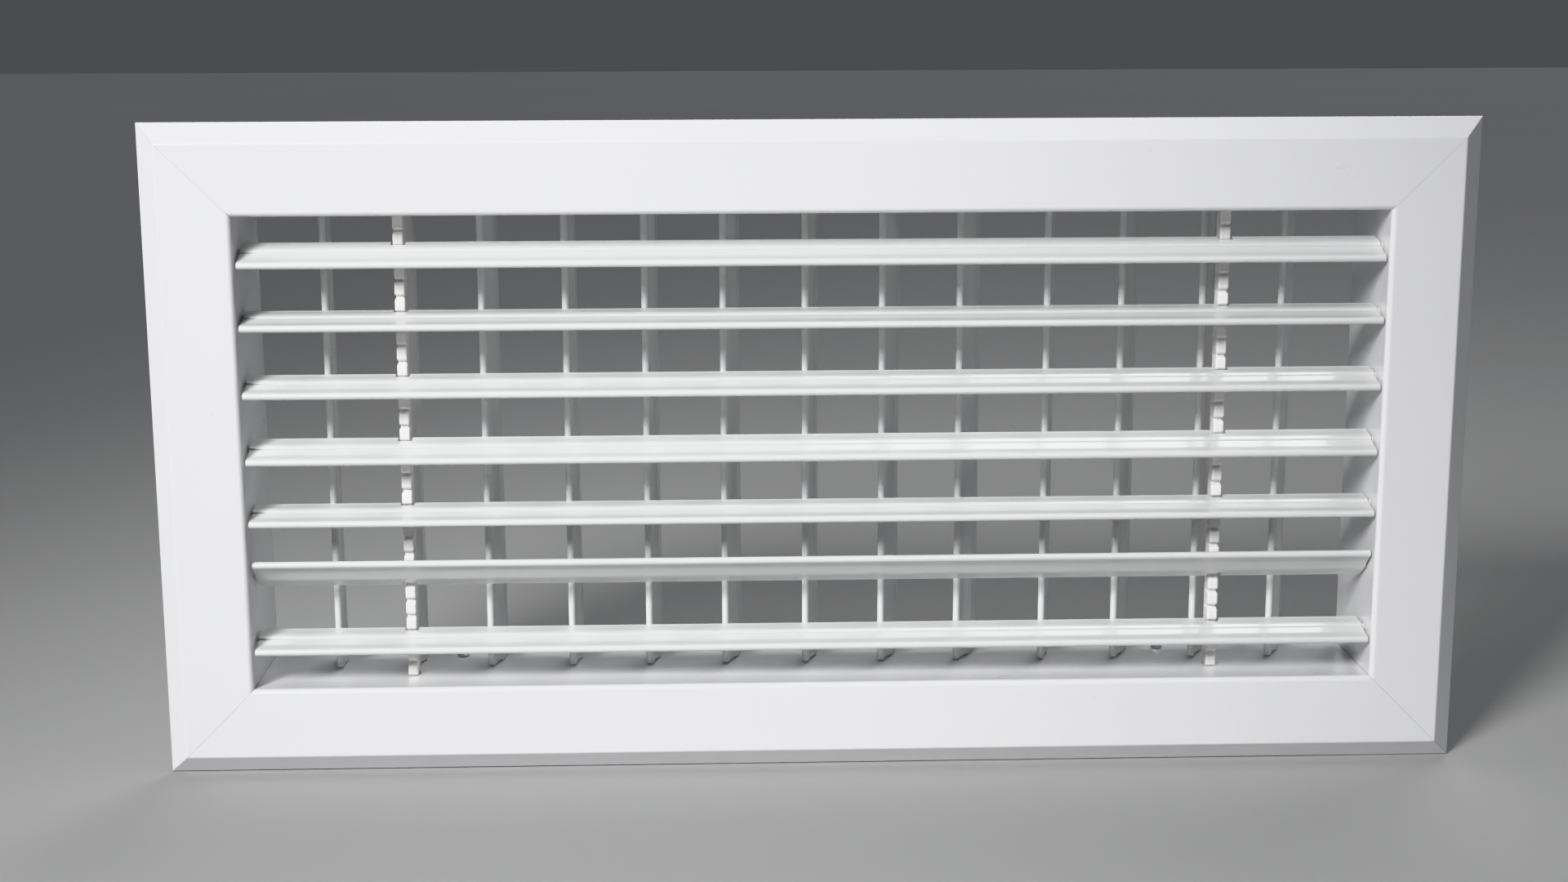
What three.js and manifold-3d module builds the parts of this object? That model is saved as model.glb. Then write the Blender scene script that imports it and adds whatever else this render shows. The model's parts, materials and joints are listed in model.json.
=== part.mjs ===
// Louvred air grille, double deflection: a mitred aluminium frame, a front bank of horizontal
// blades on nylon pins, a rear bank of upright blades, and two notched mullions that brace the
// front bank. Millimetres, +Z up, +X to the right, +Y into the wall. The origin is the centre of
// the wall opening, in the plane of the wall.
import * as THREE from 'three'
import { mergeVertices } from 'three/addons/utils/BufferGeometryUtils.js'
import Module from 'manifold-3d'

const wasm = await Module()
wasm.setup()

// ---- Driving dimensions -------------------------------------------------------------------

const faceWidth = 400
const faceHeight = 200
const flangeWidth = 27.5
const faceProud = 6.5
const bevelRun = 6
const wall = 1.4
const neckDepth = 33.5
const lipRadius = 1.6
const edgeRadius = 0.5
const footWidth = 3.5
const footThickness = 1.1
const edgeLand = 0.9
const rearBeadHeight = 0.8
const mitreGap = 0.1

const keyThickness = 1.8
const keyLeg = 30
const keyClearance = 0.3
const crestMargin = 1.5
const ribThickness = 1
const ribLip = 1
const ribLipThickness = 0.6

const sealWidth = 8
const sealClearance = 0.3
const sealInset = 0.3

const bladeChord = 15
const noseRadius = 1.1
const bladeWaist = 0.85
const bladeHump = 1.35
const tailRadius = 0.5
const pivotFromNose = 9
const grooveWidth = 0.5
const grooveDepth = 0.3
const bladeEndGap = 0.6

const frontEdgeMargin = 12.5
const frontBankShift = 0.8
const frontNoseSetback = 0.8
const frontRestAngles = [22, 13.5, 17, 19.5, 13, -40.5, 14.5]

const rearCount = 13
const rearEdgeMargin = 23
const rearBankGap = 2
const rearRestAngles = [0, 9.5, 15.5, 10, 14, 20.5, 17.5, 25, 31.5, 15, 28, 26, 27.5]

const pinBoreRadius = 0.85
const pinShankRadius = 0.65
const pinShankLength = 8
const pinBoreDepth = 9
const pinJournalRadius = 1.1
const pinHeadRadius = 1.9
const pinHeadThickness = 0.8
const pinRunningClearance = 0.2
const pinHeadClearance = 0.2

const trunnionRadius = 1.1
const trunnionProud = 0.8

const mullionInset = 47
const mullionWidth = 3.2
const mullionDepth = 5.8
const mullionStandoff = 3.4
const mullionNotchGap = 0.6
const mullionSwingGap = 0.35
const beadPitch = 5
const beadPhase = 0.9
const beadGrooveDepth = 1.1
const beadGrooveHalfWidth = 0.45
const beadRadius = 0.7
const tenonDepth = 2.8
const tenonProud = 1
const tenonClearance = 0.3

const clipWidth = 12
const clipSheet = 0.6
const clipFootLength = 10
const clipReach = 22
const clipSpread = 7
const clipToe = 2.6
const clipSeatClearance = 0.2
const rivetRadius = 1.2
const rivetClearance = 0.25
const rivetHeadRadius = 2.4
const rivetHeadHeight = 0.8

const roundSegments = 12

// ---- Places worked out from the driving dimensions ------------------------------------------

const openingWidth = faceWidth - 2 * flangeWidth
const openingHeight = faceHeight - 2 * flangeWidth
const faceY = -faceProud
const flangeBackY = faceY + wall
const frontAxisY = faceY + frontNoseSetback + pivotFromNose
const mullionFrontY = frontAxisY + mullionStandoff
const mullionRearY = mullionFrontY + mullionDepth
const mullionX = openingWidth / 2 - mullionInset
const rearAxisY = mullionRearY + rearBankGap + pivotFromNose
const rearPitch = (openingWidth - 2 * rearEdgeMargin) / (rearCount - 1)
const frontPitch = (openingHeight - 2 * frontEdgeMargin) / (frontRestAngles.length - 1)
const bevelCrest = flangeWidth - bevelRun
const ribInnerFrom = wall + sealClearance + sealWidth + sealClearance
const ribOuterFrom = bevelCrest - crestMargin - ribThickness
const keyFrom = ribInnerFrom + ribThickness + keyClearance
const keyWidth = ribOuterFrom - keyClearance - keyFrom
const keyMiddle = keyFrom + keyWidth / 2
const keyStakeRadius = keyWidth / 5
const keyFrontY = flangeBackY + keyClearance
const ribBackY = keyFrontY + keyThickness + keyClearance + ribLipThickness
const clipFootRearY = neckDepth - rearBeadHeight - rivetClearance
const rivetY = clipFootRearY - clipFootLength / 2
const clipX = 4.5 * rearPitch

// Heights of the front axes, from the top blade down, and places of the rear axes from the left.
const frontAxesZ = frontRestAngles.map(
  (angle, index) => frontBankShift + ((frontRestAngles.length - 1) / 2 - index) * frontPitch,
)
const rearAxesX = rearRestAngles.map((angle, index) => (index - (rearCount - 1) / 2) * rearPitch)

// ---- Finishes -------------------------------------------------------------------------------

const finishes = {
  whitePowderCoat: { color: 0xe9e9eb, roughness: 0.42, metalness: 0 },
  bladePowderCoat: { color: 0xe4e5e6, roughness: 0.38, metalness: 0 },
  whiteNylon: { color: 0xf1f1ee, roughness: 0.55, metalness: 0 },
  millAluminium: { color: 0xb9bcc0, roughness: 0.45, metalness: 1 },
  springSteel: { color: 0x8d9196, roughness: 0.35, metalness: 1 },
  foam: { color: 0x33353a, roughness: 0.95, metalness: 0 },
}

// ---- Helpers --------------------------------------------------------------------------------

const object = new THREE.Group()

function addMesh(name, geometry, finish, parent = object) {
  const mesh = new THREE.Mesh(geometry, new THREE.MeshStandardMaterial(finishes[finish]))
  mesh.name = name
  parent.add(mesh)
  return mesh
}

// A closed outline from corners [a, b, radius], each with a radius rounded by a true arc.
function roundedOutline(corners, segments = 3) {
  const points = []
  corners.forEach(([a, b, radius = 0], index) => {
    const corner = new THREE.Vector2(a, b)
    if (radius === 0) {
      points.push(corner)
      return
    }
    const [beforeA, beforeB] = corners[(index + corners.length - 1) % corners.length]
    const [afterA, afterB] = corners[(index + 1) % corners.length]
    const back = new THREE.Vector2(beforeA, beforeB).sub(corner).normalize()
    const ahead = new THREE.Vector2(afterA, afterB).sub(corner).normalize()
    const half = Math.acos(THREE.MathUtils.clamp(back.dot(ahead), -1, 1)) / 2
    const bisector = back.clone().add(ahead).normalize()
    const centre = corner.clone().addScaledVector(bisector, radius / Math.sin(half))
    const from = corner.clone().addScaledVector(back, radius / Math.tan(half)).sub(centre)
    const to = corner.clone().addScaledVector(ahead, radius / Math.tan(half)).sub(centre)
    const sweep = Math.atan2(from.cross(to), from.dot(to))
    for (let step = 0; step <= segments; step += 1) {
      const turned = from.clone().rotateAround(new THREE.Vector2(), (sweep * step) / segments)
      points.push(turned.add(centre))
    }
  })
  return new THREE.Shape(points)
}

// An extrusion of an outline, centred on its length. axes names where the outline's first and
// second coordinates and the length go; each triple is a right-handed turn of X, Y, Z.
const AXES = {
  alongX: [[0, 1, 0], [0, 0, 1], [1, 0, 0]],
  alongY: [[0, 0, 1], [1, 0, 0], [0, 1, 0]],
  alongZ: [[1, 0, 0], [0, 1, 0], [0, 0, 1]],
}
function extrude(shape, length, axes) {
  const geometry = new THREE.ExtrudeGeometry(shape, {
    depth: length,
    bevelEnabled: false,
    curveSegments: roundSegments,
  })
  geometry.translate(0, 0, -length / 2)
  const basis = AXES[axes].map((direction) => new THREE.Vector3(...direction))
  return geometry.applyMatrix4(new THREE.Matrix4().makeBasis(...basis))
}

function solidOf(geometry) {
  const bare = geometry.clone()
  bare.deleteAttribute('normal')
  bare.deleteAttribute('uv')
  const merged = mergeVertices(bare, 1e-5)
  return new wasm.Manifold(new wasm.Mesh({
    numProp: 3,
    vertProperties: merged.attributes.position.array,
    triVerts: Uint32Array.from(merged.index.array),
  }))
}

function geometryOf(solid) {
  const mesh = solid.getMesh()
  const geometry = new THREE.BufferGeometry()
  geometry.setAttribute('position', new THREE.BufferAttribute(mesh.vertProperties, 3))
  geometry.setIndex(new THREE.BufferAttribute(mesh.triVerts, 1))
  return geometry
}

function cut(geometry, tools) {
  const solid = tools.reduce((rest, tool) => rest.subtract(solidOf(tool)), solidOf(geometry))
  return geometryOf(solid)
}

function box(sizeX, sizeY, sizeZ, x, y, z) {
  return new THREE.BoxGeometry(sizeX, sizeY, sizeZ).translate(x, y, z)
}

function cylinder(radius, length, axis) {
  const geometry = new THREE.CylinderGeometry(radius, radius, length, roundSegments)
  if (axis === 'x') geometry.rotateZ(Math.PI / 2)
  if (axis === 'z') geometry.rotateX(Math.PI / 2)
  return geometry
}

// ---- Frame ----------------------------------------------------------------------------------

// Section of a frame member: first coordinate is depth (Y), second is distance out from the
// opening. Bevelled flange with a foot that rests on the wall, a lipped channel for the corner
// keys, and the neck that goes into the opening.
function frameSection() {
  const slope = new THREE.Vector2(faceProud - edgeLand, bevelRun).normalize()
  const innerCrest = new THREE.Vector2(faceY + wall * slope.y, bevelCrest - wall * slope.x)
  const alongBevel = (y) => innerCrest.y + ((y - innerCrest.x) * slope.y) / slope.x
  const footInnerY = -footThickness
  const ribNeckY = ribBackY - ribLipThickness
  return roundedOutline([
    [faceY, 0, lipRadius],
    [neckDepth, 0, edgeRadius],
    [neckDepth, wall + rearBeadHeight, edgeRadius],
    [neckDepth - rearBeadHeight, wall + rearBeadHeight],
    [neckDepth - rearBeadHeight, wall],
    [flangeBackY, wall],
    [flangeBackY, ribInnerFrom],
    [ribBackY, ribInnerFrom],
    [ribBackY, ribInnerFrom + ribThickness + ribLip],
    [ribNeckY, ribInnerFrom + ribThickness + ribLip],
    [ribNeckY, ribInnerFrom + ribThickness],
    [flangeBackY, ribInnerFrom + ribThickness],
    [flangeBackY, ribOuterFrom],
    [ribNeckY, ribOuterFrom],
    [ribNeckY, ribOuterFrom - ribLip],
    [ribBackY, ribOuterFrom - ribLip],
    [ribBackY, ribOuterFrom + ribThickness],
    [flangeBackY, ribOuterFrom + ribThickness],
    [flangeBackY, alongBevel(flangeBackY)],
    [footInnerY, alongBevel(footInnerY)],
    [footInnerY, flangeWidth - footWidth],
    [0, flangeWidth - footWidth],
    [0, flangeWidth],
    [-edgeLand, flangeWidth, edgeRadius],
    [faceY, bevelCrest, edgeRadius],
  ])
}

// One member lying along X above the opening, mitred at 45 degrees at both ends and cut for
// what passes through its neck.
function frameMember(clearLength, clearHalf, tools) {
  const outerLength = clearLength + 2 * flangeWidth
  const member = extrude(frameSection(), outerLength, 'alongX').translate(0, 0, clearHalf)
  const mitres = [-1, 1].map((side) => {
    const reach = 4 * flangeWidth
    const wedge = box(reach, 2 * (faceProud + neckDepth), 3 * reach, reach / 2, neckDepth / 2, 0)
    wedge.rotateY(Math.PI / 4)
    if (side < 0) wedge.rotateY(Math.PI / 2)
    return wedge.translate(side * (clearLength / 2 - mitreGap * Math.SQRT2), 0, clearHalf)
  })
  return cut(member, [...mitres, ...tools])
}

function neckHole(radius, x, y, clearHalf) {
  return cylinder(radius, 4 * wall, 'z').translate(x, y, clearHalf + wall / 2)
}

function longMemberTools(clearHalf) {
  const trunnionHole = trunnionRadius + pinRunningClearance
  const slotWidth = mullionWidth + 2 * tenonClearance
  const slotDepth = tenonDepth + 2 * tenonClearance
  const slotY = (mullionFrontY + mullionRearY) / 2
  return [
    ...rearAxesX.map((x) => neckHole(trunnionHole, x, rearAxisY, clearHalf)),
    ...[-clipX, clipX].map((x) => neckHole(rivetRadius + rivetClearance, x, rivetY, clearHalf)),
    ...[-mullionX, mullionX].map((x) => box(slotWidth, slotDepth, 4 * wall, x, slotY, clearHalf)),
  ]
}

function sideMemberTools(clearHalf, axesX) {
  const journalHole = pinJournalRadius + pinRunningClearance
  return axesX.map((x) => neckHole(journalHole, x, frontAxisY, clearHalf))
}

const longMember = frameMember(openingWidth, openingHeight / 2, longMemberTools(openingHeight / 2))
const rightMember = frameMember(
  openingHeight,
  openingWidth / 2,
  sideMemberTools(openingWidth / 2, frontAxesZ.map((z) => -z)),
)
const leftMember = frameMember(
  openingHeight,
  openingWidth / 2,
  sideMemberTools(openingWidth / 2, frontAxesZ),
)
addMesh('frame_top', longMember, 'whitePowderCoat')
addMesh('frame_bottom', longMember, 'whitePowderCoat').rotation.y = Math.PI
addMesh('frame_right', rightMember, 'whitePowderCoat').rotation.y = Math.PI / 2
addMesh('frame_left', leftMember, 'whitePowderCoat').rotation.y = -Math.PI / 2

// ---- Corner keys ----------------------------------------------------------------------------

// An L of flat bar in the channels behind a corner. Coordinates run from the key's outer corner.
function cornerKey() {
  const shape = new THREE.Shape()
  shape.moveTo(0, 0)
  shape.lineTo(-keyLeg, 0)
  shape.lineTo(-keyLeg, -keyWidth)
  shape.lineTo(-keyWidth, -keyWidth)
  shape.lineTo(-keyWidth, -keyLeg)
  shape.lineTo(0, -keyLeg)
  shape.closePath()
  const stake = keyLeg - keyWidth
  shape.holes.push(
    new THREE.Path().absarc(-stake, -keyWidth / 2, keyStakeRadius, 0, 2 * Math.PI, true),
    new THREE.Path().absarc(-keyWidth / 2, -stake, keyStakeRadius, 0, 2 * Math.PI, true),
  )
  return extrude(shape, keyThickness, 'alongY')
}

const keyGeometry = cornerKey()
const keyCorners = [
  ['corner_key_top_right', 1, 1, 0],
  ['corner_key_bottom_right', 1, -1, 1],
  ['corner_key_bottom_left', -1, -1, 2],
  ['corner_key_top_left', -1, 1, 3],
]
for (const [name, sideX, sideZ, quarterTurns] of keyCorners) {
  const key = addMesh(name, keyGeometry, 'millAluminium')
  const outX = openingWidth / 2 + keyMiddle + keyWidth / 2
  const outZ = openingHeight / 2 + keyMiddle + keyWidth / 2
  key.rotation.y = (quarterTurns * Math.PI) / 2
  key.position.set(sideX * outX, keyFrontY + keyThickness / 2, sideZ * outZ)
}

// ---- Foam seal behind the flange --------------------------------------------------------------

const sealDepth = -sealInset - (flangeBackY + sealClearance)
const sealY = -sealInset - sealDepth / 2
const sealMiddle = wall + sealClearance + sealWidth / 2
const sealLong = openingWidth + 2 * (sealMiddle + sealWidth / 2)
const sealShort = openingHeight + 2 * (sealMiddle - sealWidth / 2 - sealClearance)
for (const [name, side] of [['seal_top', 1], ['seal_bottom', -1]]) {
  const strip = box(sealLong, sealDepth, sealWidth, 0, 0, 0)
  addMesh(name, strip, 'foam').position.set(0, sealY, side * (openingHeight / 2 + sealMiddle))
}
for (const [name, side] of [['seal_left', -1], ['seal_right', 1]]) {
  const strip = box(sealWidth, sealDepth, sealShort, 0, 0, 0)
  addMesh(name, strip, 'foam').position.set(side * (openingWidth / 2 + sealMiddle), sealY, 0)
}

// ---- Blades ---------------------------------------------------------------------------------

// Aerofoil section about the pivot: first coordinate is distance back from the pivot, second is
// across the blade. Round nose, hollow slope, a hump round the pin, thin tail. The fine groove in
// front of the hump is on one side only: the upper one in front, the left one at the rear.
function bladeSection() {
  const nose = -pivotFromNose
  const tail = bladeChord - pivotFromNose
  const waistAt = nose + 0.45 * pivotFromNose
  const grooveAt = -bladeHump
  const half = []
  const noseSteps = 4
  for (let step = 0; step <= noseSteps; step += 1) {
    const turn = (Math.PI / 2) * (step / noseSteps)
    half.push([nose + noseRadius * (1 - Math.cos(turn)), noseRadius * Math.sin(turn)])
  }
  half.push([waistAt, bladeWaist])
  const brink = half.length
  half.push([grooveAt - grooveWidth, bladeWaist + grooveDepth / 2])
  half.push([grooveAt - grooveWidth / 2, bladeWaist - grooveDepth / 2])
  half.push([grooveAt, bladeHump - grooveDepth / 2])
  half.push([0, bladeHump])
  half.push([tail - 2 * tailRadius, tailRadius])
  half.push([tail - tailRadius * (1 - Math.SQRT1_2), tailRadius * Math.SQRT1_2])
  half.push([tail, 0])
  const plain = [...half.slice(1, brink), ...half.slice(brink + 3, -1)]
  const lower = plain.reverse().map(([along, across]) => [along, -across])
  return [...half, ...lower]
}

function frontBlade() {
  const shape = new THREE.Shape(bladeSection().map(([along, up]) => new THREE.Vector2(along, up)))
  const length = openingWidth - 2 * bladeEndGap
  const blade = extrude(shape, length, 'alongX')
  // The notch leaves room for the blade to turn past the mullion: its floor, at the notch's full
  // thickness, stays inside the circle that clears the mullion's front.
  const clearRadius = mullionFrontY - frontAxisY - mullionSwingGap
  const notchFloor = Math.sqrt(clearRadius ** 2 - bladeHump ** 2)
  const notchWidth = mullionWidth + 2 * mullionNotchGap
  const notchReach = bladeChord
  const notches = [-mullionX, mullionX].map((x) => (
    box(notchWidth, notchReach, 4 * bladeHump, x, notchFloor + notchReach / 2, 0)
  ))
  const bores = [-1, 1].map((side) => (
    cylinder(pinBoreRadius, 2 * pinBoreDepth, 'x').translate((side * length) / 2, 0, 0)
  ))
  return cut(blade, [...notches, ...bores])
}

function rearBlade() {
  const outline = bladeSection().map(([along, across]) => new THREE.Vector2(-across, along))
  const blade = extrude(new THREE.Shape(outline), openingHeight - 2 * bladeEndGap, 'alongZ')
  const trunnion = cylinder(trunnionRadius, openingHeight + 2 * (wall + trunnionProud), 'z')
  return geometryOf(solidOf(blade).add(solidOf(trunnion)))
}

// Headed nylon pin, pushed in through the neck from outside; the shank sits in the blade's bore.
function pivotPin() {
  const shankTip = -bladeEndGap - pinShankLength
  const shoulder = -bladeEndGap / 2
  const headFrom = wall + pinHeadClearance
  const headTo = headFrom + pinHeadThickness
  const profile = [
    [0, shankTip],
    [pinShankRadius - 0.2, shankTip],
    [pinShankRadius, shankTip + 0.4],
    [pinShankRadius, shoulder],
    [pinJournalRadius, shoulder],
    [pinJournalRadius, headFrom],
    [pinHeadRadius, headFrom],
    [pinHeadRadius, headTo - 0.25],
    [pinHeadRadius - 0.3, headTo],
    [0, headTo],
  ]
  const points = profile.map(([radius, along]) => new THREE.Vector2(radius, along))
  return new THREE.LatheGeometry(points, roundSegments).rotateZ(-Math.PI / 2)
}

const frontBladeGeometry = frontBlade()
const pinGeometry = pivotPin()
frontRestAngles.forEach((angle, index) => {
  const number = index + 1
  const pivot = new THREE.Group()
  pivot.position.set(0, frontAxisY, frontAxesZ[index])
  pivot.rotation.x = THREE.MathUtils.degToRad(angle)
  object.add(pivot)
  addMesh(`front_blade_${number}`, frontBladeGeometry, 'bladePowderCoat', pivot)
  for (const [side, turn] of [['left', Math.PI], ['right', 0]]) {
    const pin = addMesh(`pivot_pin_${side}_${number}`, pinGeometry, 'whiteNylon', pivot)
    pin.rotation.z = turn
    pin.position.x = (Math.cos(turn) * openingWidth) / 2
  }
})

const rearBladeGeometry = rearBlade()
rearRestAngles.forEach((angle, index) => {
  const number = String(index + 1).padStart(2, '0')
  const blade = addMesh(`rear_blade_${number}`, rearBladeGeometry, 'bladePowderCoat')
  blade.position.set(rearAxesX[index], rearAxisY, 0)
  blade.rotation.z = -THREE.MathUtils.degToRad(angle)
})

// ---- Mullions -------------------------------------------------------------------------------

// Side view of a mullion: a bar whose front is a row of beads parted by fine V grooves, with a
// tenon at each end that passes through the neck.
function mullion() {
  const end = openingHeight / 2 - tenonClearance
  const tenonEnd = openingHeight / 2 + wall + tenonProud
  const middleY = (mullionFrontY + mullionRearY) / 2
  const corners = [
    [mullionRearY, end],
    [middleY + tenonDepth / 2, end],
    [middleY + tenonDepth / 2, tenonEnd],
    [middleY - tenonDepth / 2, tenonEnd],
    [middleY - tenonDepth / 2, end],
    [mullionFrontY, end],
  ]
  const topGroove = frontAxesZ[0] + beadPhase
  const grooveRoom = beadGrooveHalfWidth + beadRadius
  const grooves = []
  const firstGroove = topGroove + beadPitch * Math.floor((end - grooveRoom - topGroove) / beadPitch)
  for (let z = firstGroove; z > -end + grooveRoom; z -= beadPitch) grooves.push(z)
  for (const z of grooves) {
    corners.push([mullionFrontY, z + beadGrooveHalfWidth, beadRadius])
    corners.push([mullionFrontY + beadGrooveDepth, z])
    corners.push([mullionFrontY, z - beadGrooveHalfWidth, beadRadius])
  }
  corners.push(
    [mullionFrontY, -end],
    [middleY - tenonDepth / 2, -end],
    [middleY - tenonDepth / 2, -tenonEnd],
    [middleY + tenonDepth / 2, -tenonEnd],
    [middleY + tenonDepth / 2, -end],
    [mullionRearY, -end],
  )
  return extrude(roundedOutline(corners, 2), mullionWidth, 'alongX')
}

const mullionGeometry = mullion()
addMesh('mullion_left', mullionGeometry, 'whiteNylon').position.x = -mullionX
addMesh('mullion_right', mullionGeometry, 'whiteNylon').position.x = mullionX

// ---- Spring clips and their rivets ------------------------------------------------------------

// Side view of a clip, above the neck: a flat foot under the rivet, then a leaf that rises
// towards the flange and turns back in at its toe, so that it springs out behind the wall.
function springClip(clearHalf) {
  const seat = clearHalf + wall + clipSeatClearance
  const footFrontY = clipFootRearY - clipFootLength
  const toeY = clipFootRearY - clipReach
  const lean = new THREE.Vector2(footFrontY - toeY - clipToe, clipSpread).normalize()
  const rise = clipSheet * lean.x
  const shape = roundedOutline([
    [clipFootRearY, seat],
    [clipFootRearY, seat + clipSheet],
    [footFrontY, seat + clipSheet, clipSheet],
    [toeY + clipToe, seat + clipSpread + rise, clipSheet],
    [toeY, seat + clipSpread - clipToe + rise],
    [toeY + clipSheet, seat + clipSpread - clipToe - clipSheet + rise],
    [toeY + clipToe, seat + clipSpread - rise],
    [footFrontY - clipSheet / 2, seat],
  ])
  const foot = extrude(shape, clipWidth, 'alongX')
  return cut(foot, [neckHole(rivetRadius + rivetClearance, 0, rivetY, clearHalf)])
}

// Blind rivet through the neck and the clip's foot: round head outside, set bulb inside.
function clipRivet(clearHalf) {
  const inside = clearHalf - rivetClearance
  const outside = clearHalf + wall + clipSeatClearance + clipSheet + rivetClearance
  const profile = [
    [0, inside - rivetHeadHeight],
    [0.6 * rivetHeadRadius, inside - rivetHeadHeight],
    [0.8 * rivetHeadRadius, inside - rivetHeadHeight / 2],
    [0.8 * rivetHeadRadius, inside],
    [rivetRadius, inside],
    [rivetRadius, outside],
    [rivetHeadRadius, outside],
    [rivetHeadRadius, outside + rivetHeadHeight / 3],
    [0.7 * rivetHeadRadius, outside + rivetHeadHeight],
    [0, outside + rivetHeadHeight],
  ]
  const points = profile.map(([radius, along]) => new THREE.Vector2(radius, along))
  return new THREE.LatheGeometry(points, roundSegments).rotateX(Math.PI / 2)
}

const clipGeometry = springClip(openingHeight / 2)
const rivetGeometry = clipRivet(openingHeight / 2)
for (const [end, turn] of [['top', 0], ['bottom', Math.PI]]) {
  for (const [side, x] of [['left', -clipX], ['right', clipX]]) {
    const clip = addMesh(`spring_clip_${end}_${side}`, clipGeometry, 'springSteel')
    clip.rotation.y = turn
    clip.position.x = x
    const rivet = addMesh(`clip_rivet_${end}_${side}`, rivetGeometry, 'millAluminium')
    rivet.rotation.y = turn
    rivet.position.set(x, rivetY, 0)
  }
}

export default object
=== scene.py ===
"""Looks of a double deflection wall air grille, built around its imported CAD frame.

A mitred aluminium casing carries a front bank of level louvres on nylon pins, two beaded mullions
that brace them, and a rear bank of upright louvres. Corner keys, a foam seal and riveted spring
clips sit behind the flange. Metres, +Z up, +Y into the wall.
"""

from __future__ import annotations

import json
import logging
import math
import random
from collections.abc import Callable, Iterable, Mapping, Sequence
from dataclasses import dataclass, field
from enum import Enum

import bmesh
import bpy
from mathutils import Matrix, Vector

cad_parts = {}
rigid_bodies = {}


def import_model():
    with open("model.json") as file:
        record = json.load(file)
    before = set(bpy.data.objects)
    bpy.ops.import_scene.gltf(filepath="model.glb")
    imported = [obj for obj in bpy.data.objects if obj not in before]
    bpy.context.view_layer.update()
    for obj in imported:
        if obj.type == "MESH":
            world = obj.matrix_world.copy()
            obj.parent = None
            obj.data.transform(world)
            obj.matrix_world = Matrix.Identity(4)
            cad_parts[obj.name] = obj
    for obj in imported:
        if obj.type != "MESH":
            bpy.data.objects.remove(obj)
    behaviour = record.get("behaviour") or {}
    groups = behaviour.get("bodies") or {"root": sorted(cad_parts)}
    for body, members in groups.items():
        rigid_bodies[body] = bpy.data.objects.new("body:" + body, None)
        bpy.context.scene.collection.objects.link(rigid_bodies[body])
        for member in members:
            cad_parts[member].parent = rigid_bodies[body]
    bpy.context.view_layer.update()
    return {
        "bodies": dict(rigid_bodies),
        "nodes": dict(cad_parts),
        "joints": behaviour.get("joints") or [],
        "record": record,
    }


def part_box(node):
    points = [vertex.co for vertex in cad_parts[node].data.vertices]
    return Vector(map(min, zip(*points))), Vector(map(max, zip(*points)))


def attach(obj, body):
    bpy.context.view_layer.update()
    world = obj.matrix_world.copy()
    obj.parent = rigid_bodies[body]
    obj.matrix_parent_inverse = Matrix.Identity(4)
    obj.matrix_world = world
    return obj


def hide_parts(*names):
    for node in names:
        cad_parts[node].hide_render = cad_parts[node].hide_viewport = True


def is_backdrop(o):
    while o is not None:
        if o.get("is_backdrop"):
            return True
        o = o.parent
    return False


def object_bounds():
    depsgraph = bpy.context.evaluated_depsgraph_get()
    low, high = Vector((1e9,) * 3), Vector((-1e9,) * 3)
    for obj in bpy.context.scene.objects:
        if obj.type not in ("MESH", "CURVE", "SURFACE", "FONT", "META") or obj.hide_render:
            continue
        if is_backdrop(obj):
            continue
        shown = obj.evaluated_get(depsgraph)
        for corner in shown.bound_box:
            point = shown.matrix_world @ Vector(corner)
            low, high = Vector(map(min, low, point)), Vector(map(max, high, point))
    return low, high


LOG = logging.getLogger("air_grille")
MM = 0.001
NECK_WALL = 1.4 * MM
QUARTER = math.pi / 2

Outline = list[tuple[float, float]]
Ring = list[Vector]
Colour = tuple[float, float, float]


# ---- Nodes ----------------------------------------------------------------------------------


@dataclass(frozen=True)
class Wire:
    """An output socket of a node. Arithmetic on it adds Math nodes to the same tree."""

    web: Web
    socket: bpy.types.NodeSocket

    def _math(self, operation: str, first: Feed, second: Feed = 0.0) -> Wire:
        """Adds one Math node and returns its result."""
        return self.web.add("ShaderNodeMath", {"operation": operation}, {0: first, 1: second})

    def __add__(self, other: Feed) -> Wire:
        """self + other."""
        return self._math("ADD", self, other)

    def __radd__(self, other: Feed) -> Wire:
        """other + self."""
        return self._math("ADD", other, self)

    def __sub__(self, other: Feed) -> Wire:
        """self - other."""
        return self._math("SUBTRACT", self, other)

    def __rsub__(self, other: Feed) -> Wire:
        """other - self."""
        return self._math("SUBTRACT", other, self)

    def __mul__(self, other: Feed) -> Wire:
        """self * other."""
        return self._math("MULTIPLY", self, other)

    def __rmul__(self, other: Feed) -> Wire:
        """other * self."""
        return self._math("MULTIPLY", other, self)

    def __truediv__(self, other: Feed) -> Wire:
        """self / other."""
        return self._math("DIVIDE", self, other)

    def __pow__(self, other: Feed) -> Wire:
        """self raised to other."""
        return self._math("POWER", self, other)

    def __abs__(self) -> Wire:
        """The size of self without its sign."""
        return self._math("ABSOLUTE", self)

    def fade(self, low: float, high: float) -> Wire:
        """Maps low to 0 and high to 1 smoothly, and holds both ends.

        Args:
            low: The value that gives 0. It may be the larger of the two.
            high: The value that gives 1.

        Returns:
            The mapped value.
        """
        settings = {"interpolation_type": "SMOOTHSTEP"}
        if low <= high:
            return self.web.add(
                "ShaderNodeMapRange", settings, {"Value": self, "From Min": low, "From Max": high}
            )
        return 1.0 - self.fade(high, low)

    def other(self, name: str) -> Wire:
        """Another output of the node that self comes from."""
        return Wire(self.web, self.socket.node.outputs[name])


Feed = Wire | float | int | tuple | bpy.types.ID


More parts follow.
